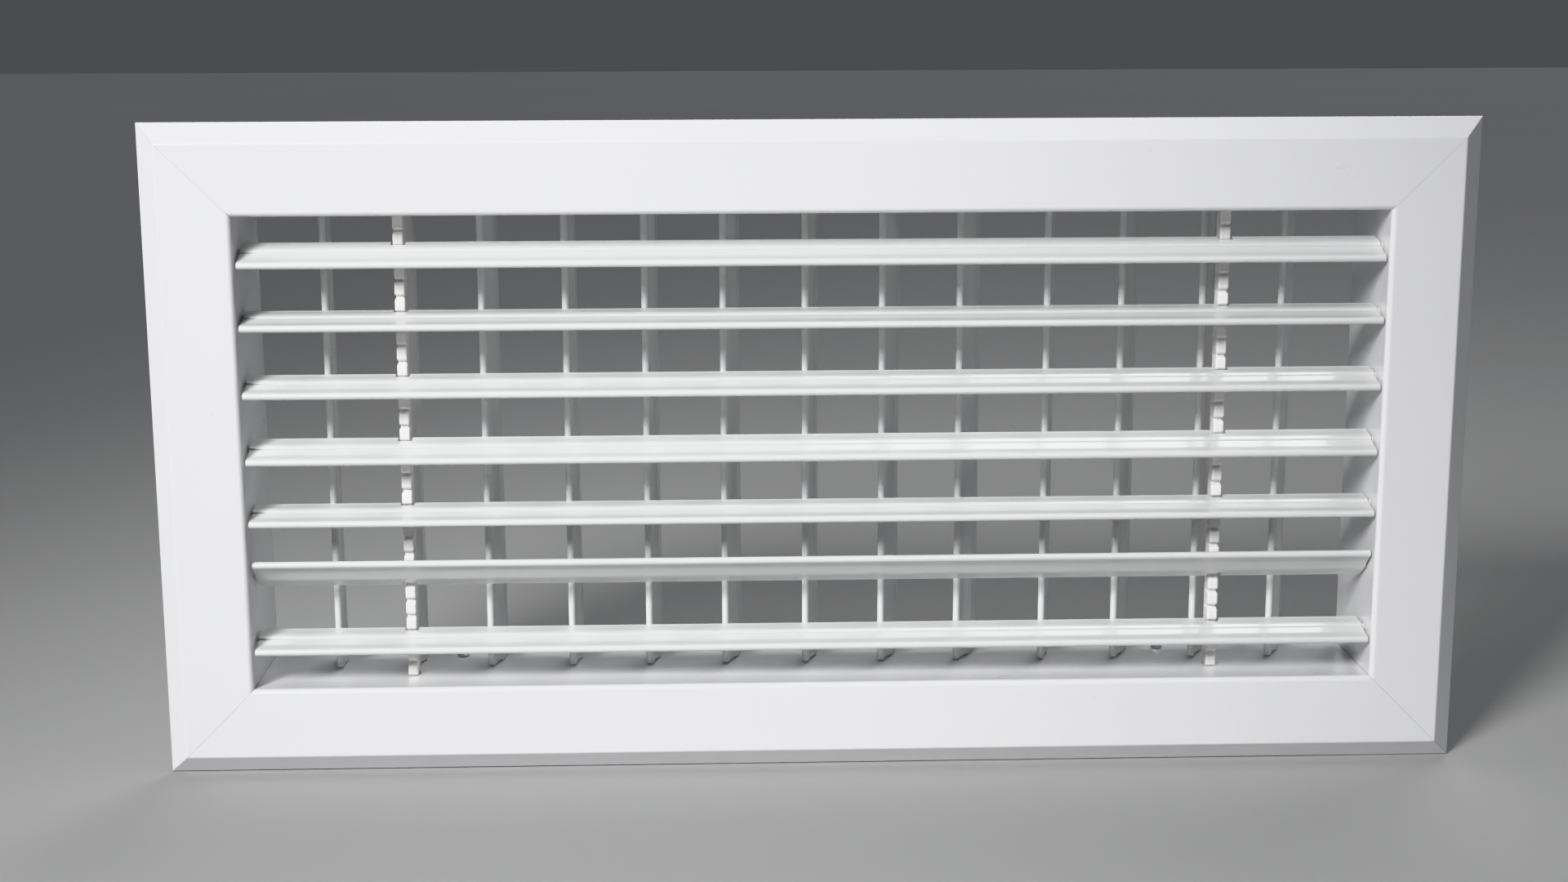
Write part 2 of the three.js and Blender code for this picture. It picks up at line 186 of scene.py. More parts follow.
class Web:
    """A node tree that is filled through one method."""

    def __init__(self, tree: bpy.types.NodeTree) -> None:
        """Keeps the tree that the nodes go in."""
        self.tree = tree

    def feed(self, socket: bpy.types.NodeSocket, value: Feed) -> None:
        """Links a wire to an input socket, or sets the socket's own value."""
        if isinstance(value, Wire):
            self.tree.links.new(value.socket, socket)
        else:
            socket.default_value = value

    def add(
        self,
        kind: str,
        settings: Mapping[str, object] | None = None,
        feeds: Mapping[str | int, Feed] | None = None,
        result: str | int = 0,
    ) -> Wire:
        """Adds one node.

        Args:
            kind: The node's type name.
            settings: Its properties, set first. "stops" holds a colour ramp's (place, grey) pairs.
            feeds: The values or wires of its inputs, by name or number.
            result: The output that is wanted.

        Returns:
            The wire of that output.
        """
        node = self.tree.nodes.new(kind)
        for name, value in (settings or {}).items():
            if name == "stops":
                for element, (place, grey) in zip(node.color_ramp.elements, value):
                    element.position = place
                    element.color = (grey, grey, grey, 1.0)
            else:
                setattr(node, name, value)
        for key, value in (feeds or {}).items():
            self.feed(node.inputs[key], value)
        return Wire(self, node.outputs[result]) if len(node.outputs) else Wire(self, None)

    def blend(self, share: Feed, first: Colour | Wire, second: Colour | Wire) -> Wire:
        """A colour from first, at share 0, to second, at share 1."""
        ends = [c if isinstance(c, Wire) else (*c, 1.0) for c in (first, second)]
        # By number, because the Mix node's colour sockets share their names with its other kinds.
        feeds = {0: share, 6: ends[0], 7: ends[1]}
        return self.add("ShaderNodeMix", {"data_type": "RGBA"}, feeds, result=2)

    def noise(self, place: Wire, grain: float, detail: float = 2.0, rough: float = 0.5) -> Wire:
        """Soft noise from 0 to 1 whose features are about one grain across, in metres."""
        feeds = {"Vector": place, "Scale": 1.0 / grain, "Detail": detail, "Roughness": rough}
        return self.add("ShaderNodeTexNoise", None, feeds)

    def stretched(self, place: Wire, scale: tuple[float, float, float]) -> Wire:
        """The place with each axis scaled, so that a pattern runs in lines."""
        feeds = {0: place, 1: scale}
        return self.add("ShaderNodeVectorMath", {"operation": "MULTIPLY"}, feeds)


# ---- Finishes -------------------------------------------------------------------------------


@dataclass(frozen=True)
class Finish:
    """What every finish has: a name, a base colour and a mean roughness."""

    name: str
    colour: Colour
    roughness: float

    def build(self) -> bpy.types.Material:
        """Makes the Blender material."""
        material = bpy.data.materials.new(self.name)
        material.use_nodes = True
        material.diffuse_color = (*self.colour, 1.0)
        web = Web(material.node_tree)
        shader = material.node_tree.nodes["Principled BSDF"]
        shader.inputs["Roughness"].default_value = self.roughness
        place = web.add("ShaderNodeTexCoord", result="Object")
        self.paint(web, shader, place)
        return material

    def paint(self, web: Web, shader: bpy.types.ShaderNode, place: Wire) -> None:
        """Feeds the shader. Each kind of finish has its own way."""
        raise NotImplementedError

    def relief(self, web: Web, shader: bpy.types.ShaderNode, height: Wire, depth: float) -> None:
        """Bumps the surface by height, whose 0 to 1 stands for depth in metres."""
        normal = web.add("ShaderNodeBump", None, {"Height": height, "Distance": depth})
        web.feed(shader.inputs["Normal"], normal)


@dataclass(frozen=True)
class PowderCoat(Finish):
    """Satin polyester powder with orange peel, faint dust on what faces up, and grey mitre lines."""

    peel: float = 1.5 * MM
    peel_depth: float = 0.016 * MM
    dust: Colour = (0.60, 0.60, 0.58)
    dust_share: float = 0.16
    specular: float = 0.45
    lacquer: float = 0.55
    lacquer_roughness: float = 0.13
    speck: Colour = (0.30, 0.29, 0.27)
    mitre_half: tuple[float, float] | None = None
    mitre_line: float = 0.22 * MM
    mitre_strength: float = 0.4

    def paint(self, web: Web, shader: bpy.types.ShaderNode, place: Wire) -> None:
        """Mottles the colour and the gloss, and raises the orange peel."""
        cloud = web.noise(place, 60 * MM, 3.0)
        smear = web.noise(web.stretched(place, (1.0, 3.0, 2.0)), 24 * MM, 4.0, 0.6)
        facing = place.other("Normal")
        up = web.add("ShaderNodeSeparateXYZ", None, {0: facing}, "Z").fade(0.5, 1.0)
        dusty = up * (smear.fade(0.35, 0.75) * self.dust_share)
        colour = web.blend(cloud.fade(0.3, 0.7) * 0.05, self.colour, self.dust)
        colour = web.blend(dusty, colour, self.dust)
        colour = web.blend(self.specks(web, place), colour, self.speck)
        if self.mitre_half is not None:
            colour = web.blend(self.mitres(web, place, smear), colour, self.dust)
        web.feed(shader.inputs["Base Color"], colour)
        gloss = self.roughness + (cloud - 0.5) * 0.06 + dusty * 0.5 + (smear - 0.5) * 0.05
        web.feed(shader.inputs["Roughness"], gloss)
        shader.inputs["Specular IOR Level"].default_value = self.specular
        shader.inputs["Coat Weight"].default_value = self.lacquer
        shader.inputs["Coat Roughness"].default_value = self.lacquer_roughness
        peel = web.noise(place, self.peel, 1.0)
        grit = web.noise(place, 0.25 * MM, 1.0)
        self.relief(web, shader, peel * 0.85 + grit * 0.15, self.peel_depth)

    def specks(self, web: Web, place: Wire) -> Wire:
        """A few nibs of dirt in the coat, a tenth of a millimetre or two across."""
        cell = web.add("ShaderNodeTexVoronoi", None, {"Vector": place, "Scale": 1.0 / (9 * MM)})
        chosen = web.add("ShaderNodeSeparateColor", None, {0: cell.other("Color")})
        return cell.fade(0.03, 0.015) * chosen.fade(0.86, 0.88) * 0.55

    def mitres(self, web: Web, place: Wire, smear: Wire) -> Wire:
        """A grey line in the mitre joints, where the two half widths of the opening grow alike."""
        along = web.add("ShaderNodeSeparateXYZ", None, {0: place}, "X")
        up = along.other("Z")
        half_width, half_height = self.mitre_half
        off = abs((abs(along) - half_width) - (abs(up) - half_height))
        line = off.fade(self.mitre_line * 2, self.mitre_line * 0.5)
        return line * smear.fade(0.2, 0.7) * self.mitre_strength


@dataclass(frozen=True)
class MouldedPlastic(Finish):
    """Moulded plastic with a fine spark grain, flow mottling and a trace of grime."""

    grain: float = 0.22 * MM
    grain_depth: float = 0.006 * MM
    grime: Colour = (0.52, 0.50, 0.46)

    def paint(self, web: Web, shader: bpy.types.ShaderNode, place: Wire) -> None:
        """Mottles the colour along the flow and grains the surface."""
        flow = web.noise(web.stretched(place, (1.0, 1.0, 0.3)), 3 * MM, 3.0, 0.6)
        grime = web.noise(place, 7 * MM, 4.0, 0.65).fade(0.5, 0.8)
        colour = web.blend(flow.fade(0.3, 0.75) * 0.08 + grime * 0.10, self.colour, self.grime)
        web.feed(shader.inputs["Base Color"], colour)
        web.feed(shader.inputs["Roughness"], self.roughness + (flow - 0.5) * 0.16 + grime * 0.1)
        spark = web.noise(place, self.grain, 2.0)
        self.relief(web, shader, spark * 0.7 + flow * 0.3, self.grain_depth)


class Grain(Enum):
    """Which way the drawn lines of a metal run."""

    ALONG_X = (0.03, 1.0, 1.0)
    ALONG_Y = (1.0, 0.03, 1.0)
    ROUND = (1.0, 1.0, 1.0)


@dataclass(frozen=True)
class DrawnMetal(Finish):
    """Bare metal with draw lines, a cloudy oxide and scattered scratches."""

    grain: Grain = Grain.ALONG_X
    line: float = 0.18 * MM
    line_depth: float = 0.005 * MM
    oxide: Colour = (0.40, 0.41, 0.42)
    oxide_share: float = 0.45

    def paint(self, web: Web, shader: bpy.types.ShaderNode, place: Wire) -> None:
        """Clouds the colour and the gloss and cuts the lines."""
        shader.inputs["Metallic"].default_value = 1.0
        lines = web.noise(web.stretched(place, self.grain.value), self.line, 3.0, 0.7)
        cloud = web.noise(place, 6 * MM, 4.0, 0.6)
        scratch = web.noise(web.stretched(place, (0.2, 0.2, 1.0)), 0.5 * MM, 1.0).fade(0.68, 0.74)
        tone = web.blend(cloud.fade(0.35, 0.75) * self.oxide_share, self.colour, self.oxide)
        tone = web.blend(lines.fade(0.3, 0.8) * 0.18, tone, self.oxide)
        web.feed(shader.inputs["Base Color"], tone)
        gloss = self.roughness + (cloud - 0.5) * 0.22 + (lines - 0.5) * 0.14 - scratch * 0.08
        web.feed(shader.inputs["Roughness"], gloss)
        self.relief(web, shader, lines + scratch * 0.4, self.line_depth)


@dataclass(frozen=True)
class CellFoam(Finish):
    """Closed-cell foam: a skin of cut cells, darker in their pits as painted shade, lighter on their
    raised rims as painted light.
    """

    cell: float = 0.55 * MM
    cell_depth: float = 0.16 * MM
    painted_rim_light: Colour = (0.13, 0.13, 0.135)

    def paint(self, web: Web, shader: bpy.types.ShaderNode, place: Wire) -> None:
        """Draws the cells at two sizes."""
        wander = web.noise(place, 5 * MM, 3.0)
        big = web.add("ShaderNodeTexVoronoi", None, {"Vector": place, "Scale": 1.0 / self.cell})
        small = web.add("ShaderNodeTexVoronoi", None, {"Vector": place, "Scale": 2.3 / self.cell})
        height = big.fade(0.0, 0.75) * 0.7 + small.fade(0.0, 0.7) * 0.3
        # Painted shade and light: the colour follows the bump height, darker in the cell pits and lighter
        # on the raised rims.
        colour = web.blend(height.fade(0.45, 1.0) * wander.fade(0.2, 0.8), self.colour, self.painted_rim_light)
        web.feed(shader.inputs["Base Color"], colour)
        web.feed(shader.inputs["Roughness"], self.roughness - height * 0.1)
        self.relief(web, shader, height, self.cell_depth)


@dataclass(frozen=True)
class FloorPaint(Finish):
    """Plain pale studio floor with a hardly visible mottle."""

    def paint(self, web: Web, shader: bpy.types.ShaderNode, place: Wire) -> None:
        """Mottles the gloss and the colour a little."""
        cloud = web.noise(place, 0.5, 3.0)
        darker = tuple(0.94 * c for c in self.colour)
        web.feed(shader.inputs["Base Color"], web.blend(cloud, self.colour, darker))
        web.feed(shader.inputs["Roughness"], self.roughness + (cloud - 0.5) * 0.05)
        shader.inputs["Specular IOR Level"].default_value = 0.2


# ---- Shapes ---------------------------------------------------------------------------------


def rounded_outline(corners: Iterable[tuple[float, ...]], segments: int = 7) -> Outline:
    """Rounds the corners of a closed outline by true arcs.

    Args:
        corners: Each corner's two coordinates and, where it is rounded, its radius.
        segments: How many chords an arc has.

    Returns:
        The outline's points, in the order of the corners.
    """
    corners = [(*c, 0.0)[:3] for c in corners]
    points: Outline = []
    for index, (a, b, radius) in enumerate(corners):
        corner = Vector((a, b))
        if radius == 0.0:
            points.append((a, b))
            continue
        back = (Vector(corners[index - 1][:2]) - corner).normalized()
        ahead = (Vector(corners[(index + 1) % len(corners)][:2]) - corner).normalized()
        half = back.angle(ahead) / 2
        centre = corner + (back + ahead).normalized() * (radius / math.sin(half))
        start = corner + back * (radius / math.tan(half)) - centre
        sweep = start.angle_signed(corner + ahead * (radius / math.tan(half)) - centre)
        for step in range(segments + 1):
            turned = start.copy()
            turned.rotate(Matrix.Rotation(-sweep * step / segments, 2))
            points.append(tuple(centre + turned))
    return points


def inset(outline: Outline, distance: float) -> Outline:
    """Moves a closed outline's sides inwards by a distance, with mitred corners."""
    count = len(outline)
    area = sum(
        outline[i - 1][0] * outline[i][1] - outline[i][0] * outline[i - 1][1] for i in range(count)
    )
    turn = 1.0 if area > 0 else -1.0
    normals = []
    for i in range(count):
        side = Vector(outline[(i + 1) % count]) - Vector(outline[i])
        normals.append(Vector((-side.y, side.x)).normalized() * turn)
    moved = []
    for i in range(count):
        before, after = normals[i - 1], normals[i]
        shift = (before + after) / max(1.0 + before.dot(after), 0.35)
        moved.append(tuple(Vector(outline[i]) + shift * distance))
    return moved


def loft(name: str, rings: Sequence[Ring], capped: bool = True) -> bpy.types.Mesh:
    """A skin over rings of equal count.

    Args:
        name: The mesh's name.
        rings: The rings in order. Each goes round the same way.
        capped: Whether the first and last rings are closed by a face.

    Returns:
        The mesh. If it is capped, its faces point outwards.
    """
    size = len(rings[0])
    faces: list[tuple[int, ...]] = []
    for low in range(0, size * (len(rings) - 1), size):
        for i in range(size):
            after = (i + 1) % size
            faces.append((low + i, low + after, low + size + after, low + size + i))
    if capped:
        last = size * (len(rings) - 1)
        faces += [tuple(range(size))[::-1], tuple(range(last, last + size))]
    mesh = bpy.data.meshes.new(name)
    mesh.from_pydata([point for ring in rings for point in ring], [], faces)
    if capped:
        tidy(mesh)
    return mesh


def tidy(mesh: bpy.types.Mesh, merge: float = 1e-7) -> None:
    """Merges doubles and turns every face outwards."""
    work = bmesh.new()
    work.from_mesh(mesh)
    bmesh.ops.remove_doubles(work, verts=work.verts, dist=merge)
    bmesh.ops.recalc_face_normals(work, faces=work.faces)
    work.to_mesh(mesh)
    work.free()


def bar_rings(
    outline: Outline,
    stations: Iterable[tuple[float, float]],
    place: Callable[[float, float, float], tuple[float, float, float]],
) -> list[Ring]:
    """Rings of an outline at stations.

    Args:
        outline: The section.
        stations: Each station's distance along and how far the section is inset there.
        place: Turns the section's two coordinates and the distance along into a point.

    Returns:
        One ring for each station.
    """
    return [[Vector(place(a, b, along)) for a, b in inset(outline, d)] for along, d in stations]


def eased_ends(half_length: float, ease: float) -> list[tuple[float, float]]:
    """Stations of a straight bar whose end edges are broken by a small chamfer."""
    return [
        (-half_length, ease),
        (-half_length + ease, 0.0),
        (half_length - ease, 0.0),
        (half_length, ease),
    ]


def turned(name: str, profile: Outline, segments: int = 32) -> bpy.types.Mesh:
    """A piece turned about X.

    Args:
        name: The mesh's name.
        profile: (radius, place along X) pairs. Every radius is over 0.
        segments: How many sides the turning has.

    Returns:
        The closed mesh.
    """
    rings = []
    for radius, along in profile:
        angles = [2 * math.pi * i / segments for i in range(segments)]
        ring = [Vector((along, radius * math.cos(t), radius * math.sin(t))) for t in angles]
        rings.append(ring)
    return loft(name, rings)


# ---- Geometry trees -------------------------------------------------------------------------


class Cutter(Enum):
    """The shape of a punch."""

    ROUND = "round"
    SLOT = "slot"


class GrowthTree:
    """A geometry node tree with named inputs, run on an object and then kept as plain mesh."""

    def __init__(self, name: str, inputs: Mapping[str, str]) -> None:
        """Makes the tree with its inputs.

        Args:
            name: The tree's name.
            inputs: Each input's name and the short name of its socket type.
        """
        self.tree = bpy.data.node_groups.new(name, "GeometryNodeTree")
        face = self.tree.interface
        face.new_socket(name="Geometry", in_out="INPUT", socket_type="NodeSocketGeometry")
        for title, kind in inputs.items():
            face.new_socket(name=title, in_out="INPUT", socket_type=f"NodeSocket{kind}")
        face.new_socket(name="Geometry", in_out="OUTPUT", socket_type="NodeSocketGeometry")
        self.web = Web(self.tree)
        self.given = self.web.add("NodeGroupInput")
        self.finish(self.grow())

    def grow(self) -> Wire:
        """Adds the nodes and returns the grown geometry."""
        raise NotImplementedError

    def finish(self, grown: Wire) -> None:
        """Ends the tree in Realize Instances and Set Material."""
        real = self.web.add("GeometryNodeRealizeInstances", None, {0: grown})
        feeds = {"Geometry": real, "Material": self.given.other("Finish")}
        dressed = self.web.add("GeometryNodeSetMaterial", None, feeds)
        self.web.add("NodeGroupOutput", None, {0: dressed})

    def row(self, piece: Wire) -> Wire:
        """Copies of a piece in a straight row, each turned a step more than the one before."""
        web, given = self.web, self.given
        feeds = {
            "Count": given.other("Count"),
            "Start Location": given.other("Start"),
            "Offset": given.other("Step"),
        }
        line = web.add("GeometryNodeMeshLine", {"mode": "OFFSET"}, feeds)
        index = web.add("GeometryNodeInputIndex")
        settings = {"operation": "MULTIPLY_ADD"}
        feeds = {0: given.other("Turn Step"), 1: index, 2: given.other("First Turn")}
        euler = web.add("ShaderNodeVectorMath", settings, feeds)
        turn = web.add("FunctionNodeEulerToRotation", None, {0: euler})
        feeds = {"Points": line, "Instance": piece, "Rotation": turn}
        return web.add("GeometryNodeInstanceOnPoints", None, feeds)

    def run(self, piece: bpy.types.Object, **values: object) -> bpy.types.Object:
        """Runs the tree on a piece.

        Args:
            piece: The object whose mesh is the tree's own geometry.
            values: The inputs, with _ for the spaces in their names.

        Returns:
            The same object, with the result as its plain mesh and no modifier.
        """
        modifier = piece.modifiers.new(self.tree.name, "NODES")
        modifier.node_group = self.tree
        for item in self.tree.interface.items_tree:
            key = item.name.replace(" ", "_")
            if item.item_type == "SOCKET" and item.in_out == "INPUT" and key in values:
                modifier[item.identifier] = values[key]
        return bake(piece)


ROW_INPUTS = {
    "Count": "Int",
    "Start": "Vector",
    "Step": "Vector",
    "First Turn": "Vector",
    "Turn Step": "Vector",
    "Finish": "Material",
}


class RowTree(GrowthTree):
    """Sets copies of the object's own mesh in a row and joins copies that meet."""

    def __init__(self) -> None:
        """Makes the tree."""
        super().__init__("row_of_pieces", ROW_INPUTS)

    def grow(self) -> Wire:
        """A realized row with its doubles merged."""
        row = self.row(self.given)
        real = self.web.add("GeometryNodeRealizeInstances", None, {0: row})
        feeds = {"Geometry": real, "Distance": 0.001 * MM}
        return self.web.add("GeometryNodeMergeByDistance", None, feeds)


class PunchTree(GrowthTree):
    """Cuts a row of holes or slots through the object's own mesh."""

    def __init__(self, cutter: Cutter) -> None:
        """Makes the tree for one shape of punch."""
        self.cutter = cutter
        sizes = {"Radius": "Float", "Depth": "Float"}
        if cutter is Cutter.SLOT:
            sizes = {"Size": "Vector"}
        super().__init__(f"row_of_{cutter.value}_cuts", {**ROW_INPUTS, **sizes})

    def grow(self) -> Wire:
        """The mesh less a row of punches."""
        web, given = self.web, self.given
        if self.cutter is Cutter.ROUND:
            feeds = {"Radius": given.other("Radius"), "Depth": given.other("Depth"), "Vertices": 28}
            punch = web.add("GeometryNodeMeshCylinder", None, feeds)
        else:
            punch = web.add("GeometryNodeMeshCube", None, {"Size": given.other("Size")})
        punches = web.add("GeometryNodeRealizeInstances", None, {0: self.row(punch)})
        settings = {"operation": "DIFFERENCE", "solver": "EXACT"}
        return web.add("GeometryNodeMeshBoolean", settings, {0: given, 1: punches})


@dataclass
class Workshop:
    """The trees that the assemblies share."""

    rows: RowTree = field(default_factory=RowTree)
    drill: PunchTree = field(default_factory=lambda: PunchTree(Cutter.ROUND))
    slotter: PunchTree = field(default_factory=lambda: PunchTree(Cutter.SLOT))


# ---- Pieces ---------------------------------------------------------------------------------


def bake(piece: bpy.types.Object) -> bpy.types.Object:
    """Keeps an object's evaluated result as its plain mesh and takes its modifiers off."""
    graph = bpy.context.evaluated_depsgraph_get()
    made = bpy.data.meshes.new_from_object(
        piece.evaluated_get(graph), preserve_all_data_layers=True, depsgraph=graph
    )
    piece.modifiers.clear()
    old = piece.data
    piece.data = made
    bpy.data.meshes.remove(old)
    return piece


def put(name: str, mesh: bpy.types.Mesh) -> bpy.types.Object:
    """Puts a mesh in the scene as a new object at the origin."""
    piece = bpy.data.objects.new(name, mesh)
    bpy.context.scene.collection.objects.link(piece)
    return piece


def smooth(piece: bpy.types.Object, crease: float = 32.0) -> bpy.types.Object:
    """Shades a piece smoothly up to a crease angle in degrees, with broad faces kept flat."""
    mesh = piece.data
    mesh.polygons.foreach_set("use_smooth", [True] * len(mesh.polygons))
    mesh.set_sharp_from_angle(angle=math.radians(crease))
    modifier = piece.modifiers.new("broad_faces", "WEIGHTED_NORMAL")
    modifier.keep_sharp = True
    return bake(piece)


def hand_over(
    piece: bpy.types.Object,
    body: str,
    material: bpy.types.Material,
    stands_for: Sequence[str] = (),
) -> None:
    """Dresses a finished piece and gives it to the frame.

    Args:
        piece: The object, with its place in its mesh.
        body: The CAD body that it moves with.
        material: Its finish.
        stands_for: The CAD nodes that it replaces.
    """
    piece.data.materials.clear()
    piece.data.materials.append(material)
    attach(piece, body)
    if stands_for:
        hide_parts(*stands_for)
    LOG.info("%s: %d faces on %s", piece.name, len(piece.data.polygons), body)


@dataclass(frozen=True)
class Axis:
    """A louvre's pivot: its number, body, place and rest angle in radians."""

    number: int
    body: str
    place: Vector
    angle: float


@dataclass(frozen=True)
class Layout:
    """Where things are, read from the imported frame."""

    half_width: float
    half_height: float
    face_y: float
    neck_y: float
    flange: float
    front: list[Axis]
    rear: list[Axis]
    mullion_x: float

    @classmethod
    def read(cls, frame: Mapping[str, object]) -> Layout:
        """Takes the opening, the depths and the pivots from the frame."""
        low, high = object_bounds()
        half_width = -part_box("frame_left")[1].x
        half_height = -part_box("frame_bottom")[1].z
        mullion_low, mullion_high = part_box("mullion_right")
        return cls(
            half_width=half_width,
            half_height=half_height,
            face_y=low.y,
            neck_y=high.y,
            flange=high.x - half_width,
            front=cls.axes(frame["joints"], "front"),
            rear=cls.axes(frame["joints"], "rear"),
            mullion_x=(mullion_low.x + mullion_high.x) / 2,
        )

    @staticmethod
    def axes(joints: Sequence[Mapping[str, object]], bank: str) -> list[Axis]:
        """The pivots of one bank. A joint's range is even about straight, so it gives the angle."""
        found = []
        for joint in joints:
            if joint["name"].startswith(bank):
                angle = -math.radians(sum(joint["range_deg"]) / 2)
                axis = Axis(len(found) + 1, joint["child"], Vector(joint["pos_m"]), angle)
                found.append(axis)
        return found


@dataclass
class Casing:
    """Four mitred members: bevelled flange, channel for the corner keys, and neck."""

    layout: Layout
    shop: Workshop
    wall: float = NECK_WALL
    lip_radius: float = 1.6 * MM
    edge_radius: float = 0.5 * MM
    crest_radius: float = 1.1 * MM
    bevel_run: float = 6 * MM
    edge_land: float = 0.9 * MM
    foot_width: float = 3.5 * MM
    foot_thickness: float = 1.1 * MM
    rear_bead: float = 0.8 * MM
    seal_bay: float = 8.6 * MM
    rib: float = 1 * MM
    rib_lip: float = 1 * MM
    rib_lip_thickness: float = 0.6 * MM
    crest_margin: float = 1.5 * MM
    key_bay: float = 2.4 * MM
    mitre_gap: float = 0.012 * MM
    mitre_ease: float = 0.06 * MM
    pivot_hole: float = 1.3 * MM
    rivet_hole: float = 1.45 * MM
    tenon_slot: tuple[float, float] = (3.8 * MM, 3.4 * MM)

    def section(self) -> Outline:
        """The members' section: depth, and distance out from the opening."""
        face, neck, bead = self.layout.face_y, self.layout.neck_y, self.rear_bead
        flange, wall, edge = self.layout.flange, self.wall, self.edge_radius
        crest, back = flange - self.bevel_run, face + wall
        rib_near, rib_far = wall + self.seal_bay, crest - self.crest_margin - self.rib
        lip_front = back + self.key_bay
        lip_back = lip_front + self.rib_lip_thickness
        slope = Vector((-self.edge_land - face, self.bevel_run)).normalized()
        start = Vector((face + wall * slope.y, crest - wall * slope.x))

        def under_bevel(depth: float) -> tuple[float, float]:
            """The point of the bevel's inner side at a depth."""
            return (depth, start.y + (depth - start.x) * slope.y / slope.x)

        return rounded_outline([
            (face, 0.0, self.lip_radius),
            (neck, 0.0, edge * 0.8),
            (neck, wall + bead, edge * 0.8),
            (neck - bead, wall + bead, bead * 0.3),
            (neck - bead, wall),
            (back, wall, edge * 0.8),
            (back, rib_near),
            (lip_back, rib_near, 0.15 * MM),
            (lip_back, rib_near + self.rib + self.rib_lip, 0.15 * MM),
            (lip_front, rib_near + self.rib + self.rib_lip, 0.15 * MM),
            (lip_front, rib_near + self.rib),
            (back, rib_near + self.rib),
            (back, rib_far),
            (lip_front, rib_far),
            (lip_front, rib_far - self.rib_lip, 0.15 * MM),
            (lip_back, rib_far - self.rib_lip, 0.15 * MM),
            (lip_back, rib_far + self.rib, 0.15 * MM),
            (back, rib_far + self.rib),
            under_bevel(back),
            under_bevel(-self.foot_thickness),
            (-self.foot_thickness, flange - self.foot_width),
            (0.0, flange - self.foot_width, 0.15 * MM),
            (0.0, flange, 0.25 * MM),
            (-self.edge_land, flange, edge),
            (face, crest, self.crest_radius),
        ])

    def member(self, name: str, half_length: float, reach: float) -> bpy.types.Object:
        """A member above the opening, with its mitres.

        Args:
            name: The piece's name.
            half_length: Half of the opening's length along it.
            reach: How far the opening's edge is from the middle.

        Returns:
            The object, lying along X.
        """
        section = self.section()
        rings = []
        for side, setback, ease in (
            (-1, 0.0, self.mitre_ease),
            (-1, self.mitre_ease, 0.0),
            (1, self.mitre_ease, 0.0),
            (1, 0.0, self.mitre_ease),
        ):
            trim = self.mitre_gap * math.sqrt(2) + setback
            ring = [
                Vector((side * (half_length + out - trim), depth, reach + out))
                for depth, out in inset(section, ease)
            ]
            rings.append(ring)
        return put(name, loft(name, rings))

    def build(self, material: bpy.types.Material) -> None:
        """Makes, drills and places the four members."""
        width, height = self.layout.half_width, self.layout.half_height
        front, rear = self.layout.front, self.layout.rear
        rivet_low, rivet_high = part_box("clip_rivet_top_left")
        rivet_x = (rivet_low.x + rivet_high.x) / 2
        rivet_y = (rivet_low.y + rivet_high.y) / 2
        mullion_low, mullion_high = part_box("mullion_left")
        slot_y = (mullion_low.y + mullion_high.y) / 2
        deep = 4 * self.wall
        for end, turn in (("top", 0.0), ("bottom", math.pi)):
            member = self.member(f"{end}_member", width, height)
            hole = {"Depth": deep, "Finish": material}
            pitch = rear[1].place.x - rear[0].place.x
            start = (rear[0].place.x, rear[0].place.y, height)
            self.shop.drill.run(
                member, Count=len(rear), Start=start, Step=(pitch, 0.0, 0.0),
                Radius=self.pivot_hole, **hole,
            )
            self.shop.drill.run(
                member, Count=2, Start=(rivet_x, rivet_y, height), Step=(-2 * rivet_x, 0.0, 0.0),
                Radius=self.rivet_hole, **hole,
            )
            slot_x = self.layout.mullion_x
            self.shop.slotter.run(
                member, Count=2, Start=(-slot_x, slot_y, height), Step=(2 * slot_x, 0.0, 0.0),
                Size=(*self.tenon_slot, deep), Finish=material,
            )
            self.settle(member, f"frame_{end}", turn, material)
        for end, side in (("right", 1), ("left", -1)):
            member = self.member(f"{end}_member", height, width)
            pitch = front[0].place.z - front[1].place.z
            start = (-side * front[0].place.z, front[0].place.y, width)
            self.shop.drill.run(
                member, Count=len(front), Start=start, Step=(side * pitch, 0.0, 0.0),
                Radius=self.pivot_hole, Depth=deep, Finish=material,
            )
            self.settle(member, f"frame_{end}", side * QUARTER, material)

    def settle(
        self, member: bpy.types.Object, node: str, turn: float, material: bpy.types.Material
    ) -> None:
        """Turns a member about Y into its place and hands it over."""
        member.data.transform(Matrix.Rotation(turn, 4, "Y"))
        tidy(member.data, 0.0005 * MM)
        smooth(member)
        hand_over(member, "frame", material, [node])


